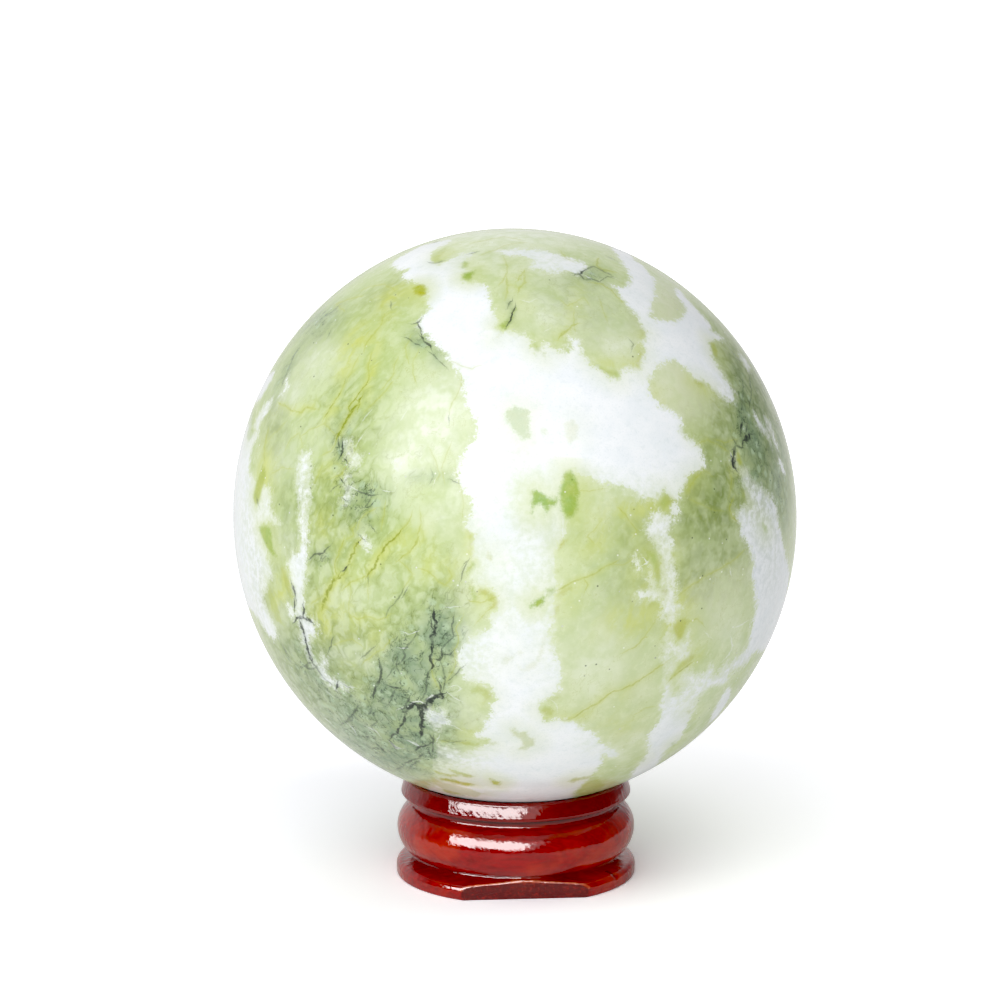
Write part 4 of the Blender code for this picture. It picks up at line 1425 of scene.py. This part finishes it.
verts = np.stack([x, y, zz], -1).reshape(-1, 3)
m = len(section)
quads_s = []
for i in range(STEPS):
    j = (i + 1) % STEPS
    for k in range(m):
        l = (k + 1) % m
        quads_s.append((i * m + k, i * m + l, j * m + l, j * m + k))
smesh = bpy.data.meshes.new("turned_ring")
smesh.from_pydata((verts * MM).tolist(), [], outward(verts, quads_s))
smesh.validate()
smesh.shade_smooth()
for name, value in (("facet", facet), ("painted_edge_highlight", painted_edge_highlight), ("groove_painted_shade", groove_painted_shade), ("nick", nick)):
    attribute = smesh.attributes.new(name, "FLOAT", "POINT")
    attribute.data.foreach_set("value", value.reshape(-1).astype(np.float32))
ring = bpy.data.objects.new("turned_ring", smesh)
bpy.context.scene.collection.objects.link(ring)
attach(ring, "root")
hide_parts("ring_stand")

lac, L_, lb, _ = new_material("red_lacquered_wood")
tc = L_.new("ShaderNodeTexCoord")
lp = L_.vec("SCALE", tc.outputs["Object"], scale=1000.0)
l_big, _ = L_.noise(lp, 0.09, 3, 0.6)
l_mid, l_mid_c = L_.noise(lp, 0.35, 4, 0.6)
l_fine, _ = L_.noise(lp, 1.6, 4, 0.65)
grain_map = L_.new("ShaderNodeMapping")
grain_map.inputs["Scale"].default_value = (0.12, 1.0, 1.0)
L_.put(grain_map.inputs["Vector"], L_.vec("ADD", lp, L_.vec("SCALE", l_mid_c, scale=0.8)))
grain, _ = L_.noise(grain_map.outputs[0], 1.3, 4, 0.6, 0.6)
wood = L_.mix(L_.ramp(grain, 0.34, 0.70), srgb(132, 4, 2), srgb(162, 7, 3))
wood = L_.mix(L_.mul(L_.ramp(l_big, 0.48, 0.66), 0.6), wood, srgb(190, 46, 10))
wood = L_.mix(L_.mul(L_.ramp(l_mid, 0.58, 0.8), 0.25), wood, srgb(90, 3, 3))
lp_sep = L_.new("ShaderNodeSeparateXYZ")
L_.put(lp_sep.inputs[0], lp)
wood = L_.mix(L_.ramp(lp_sep.outputs["Z"], 12.6, 13.8, 0.0, 0.7), wood, srgb(112, 3, 2))
wood = L_.mix(L_.mul(L_.attr("facet"), 0.85), wood, L_.mix(L_.ramp(l_fine, 0.5, 0.72), srgb(84, 6, 6), srgb(140, 22, 12)))
# painted shade in the grooves under the lip and under the bead
wood = L_.mix(L_.mul(L_.attr("groove_painted_shade"), 0.9), wood, srgb(34, 0, 0))
# painted highlight along the flat's upper edge
wood = L_.mix(L_.mul(L_.attr("painted_edge_highlight"), 0.85), wood, srgb(248, 140, 96))
wood = L_.mix(L_.mul(L_.attr("nick"), 0.7), wood, srgb(50, 2, 2))
L_.put(lb.inputs["Base Color"], wood)
lb.inputs["Roughness"].default_value = 0.45
lb.inputs["IOR"].default_value = 1.5
lb.inputs["Specular IOR Level"].default_value = 0.0
lb.inputs["Coat Weight"].default_value = 1.0
lb.inputs["Coat Roughness"].default_value = 0.022
lb.inputs["Coat IOR"].default_value = 1.56
# brush marks in the lacquer, running down and to the right, and a fine orange-peel
brush_map = L_.new("ShaderNodeMapping", vector_type="TEXTURE")
brush_map.inputs["Rotation"].default_value = (0.0, math.radians(-38), 0.0)
brush_map.inputs["Scale"].default_value = (1.0, 1.0, 3.0)
L_.put(brush_map.inputs["Vector"], lp)
brush, _ = L_.noise(brush_map.outputs[0], 0.85, 1, 0.6)
hairs, _ = L_.noise(brush_map.outputs[0], 3.4, 2, 0.65)
lbump = L_.new("ShaderNodeBump")
lbump.inputs["Strength"].default_value = 1.0
lbump.inputs["Distance"].default_value = 0.00008
L_.put(lbump.inputs["Height"], L_.add(brush, L_.mul(hairs, L_.ramp(l_mid, 0.42, 0.58, 0.10, 0.42))))
L_.put(lb.inputs["Normal"], lbump.outputs[0])
L_.put(lb.inputs["Coat Normal"], lbump.outputs[0])
ring.data.materials.append(lac)


# ============================================================ floor, world and lights
bpy.ops.mesh.primitive_plane_add(size=14.0, location=(0, 0, 0))
floor = bpy.context.object
floor.name = "floor"
fm, F_, fb, fout = new_material("pale_floor")
fb.inputs["Roughness"].default_value = 0.9
fb.inputs["Specular IOR Level"].default_value = 0.0
# the paper is exposed to pure white for the camera, and gives the piece no more than its due. For the camera its
# whiteness is graded with distance from a point beside the stand, lower and a little bluer near the base: a painted
# shadow around the stand that fades out to flat white
floor_path = F_.new("ShaderNodeLightPath")
floor_at = F_.new("ShaderNodeTexCoord")
away = F_.vec("DISTANCE", floor_at.outputs["Object"], (-0.030, 0.014, 0.0))
away = away.node.outputs["Value"]
paper_painted_shadow = F_.mix(F_.ramp(away, 0.040, 0.078), (1.25, 1.25, 1.31), (1.49, 1.49, 1.54))
paper_painted_shadow = F_.mix(F_.ramp(away, 0.10, 0.60), paper_painted_shadow, (1.80, 1.80, 1.80))
F_.put(fb.inputs["Base Color"], F_.mix(floor_path.outputs["Is Camera Ray"], (0.95, 0.95, 0.95), paper_painted_shadow))
floor.data.materials.append(fm)

world = bpy.data.worlds.new("studio")
bpy.context.scene.world = world
world.use_nodes = True
wt = world.node_tree
W_ = Nodes(wt)
bg = wt.nodes["Background"]
wtc = W_.new("ShaderNodeTexCoord")
sep = W_.new("ShaderNodeSeparateXYZ")
W_.put(sep.inputs[0], wtc.outputs["Generated"])
lp_ = W_.new("ShaderNodeLightPath")
# seen in reflections: white towards the back and the sides, dark towards the front and overhead
back = W_.ramp(sep.outputs["Y"], -0.05, 0.55)
low = W_.ramp(sep.outputs["Z"], 0.80, 0.35)
right = W_.ramp(sep.outputs["X"], 0.0, 0.8, 1.0, 0.2)
seen = W_.add(0.02, W_.mul(back, low, right, 0.85))
soft = W_.add(0.56, W_.mul(sep.outputs["Z"], 0.24), W_.mul(sep.outputs["X"], -0.285), W_.mul(sep.outputs["X"], sep.outputs["X"], -0.32), W_.mul(sep.outputs["Y"], -0.10))
soft = W_.math("MAXIMUM", soft, 0.03)
strength = W_.math("MULTIPLY", lp_.outputs["Is Glossy Ray"], seen)
strength = W_.add(strength, W_.mul(W_.sub(1.0, lp_.outputs["Is Glossy Ray"]), soft))
strength = W_.math("MAXIMUM", strength, W_.mul(lp_.outputs["Is Camera Ray"], 1.0))
W_.put(bg.inputs["Strength"], strength)
bg.inputs["Color"].default_value = (1.0, 1.0, 1.0, 1.0)


def area(name, azimuth, elevation, distance, size, energy, colour=(1, 1, 1), diffuse=True, glossy=True):
    d = bpy.data.lights.new(name, "AREA")
    d.shape = "RECTANGLE"
    d.size, d.size_y = size
    d.energy = energy
    d.color = colour
    o = bpy.data.objects.new(name, d)
    bpy.context.scene.collection.objects.link(o)
    a, e = math.radians(azimuth), math.radians(elevation)
    direction = Vector((math.sin(a) * math.cos(e), -math.cos(a) * math.cos(e), math.sin(e)))
    target = Vector((0, 0, 0.04))
    o.location = target + direction * distance
    o.rotation_mode = "QUATERNION"
    o.rotation_quaternion = direction.to_track_quat("Z", "Y")
    o.visible_diffuse = diffuse
    o.visible_glossy = glossy
    o.visible_transmission = glossy
    o.visible_camera = False
    return o


area("softbox", -20, 36, 3.0, (5.20, 2.40), 61.5)
# the lacquer shows the same softbox at its full brightness
bright = area("softbox_seen", -31, 33, 3.0, (4.35, 2.00), 380.0, diffuse=False)
shown_in = bpy.data.collections.new("lacquer")
shown_in.objects.link(ring)
bright.light_linking.receiver_collection = shown_in

view = bpy.context.scene.view_settings
view.view_transform = "Standard"
view.look = "None"
view.exposure = 0.0
view.gamma = 1.0
view.use_curve_mapping = True
view.curve_mapping.black_level = (0.012, 0.012, 0.012)
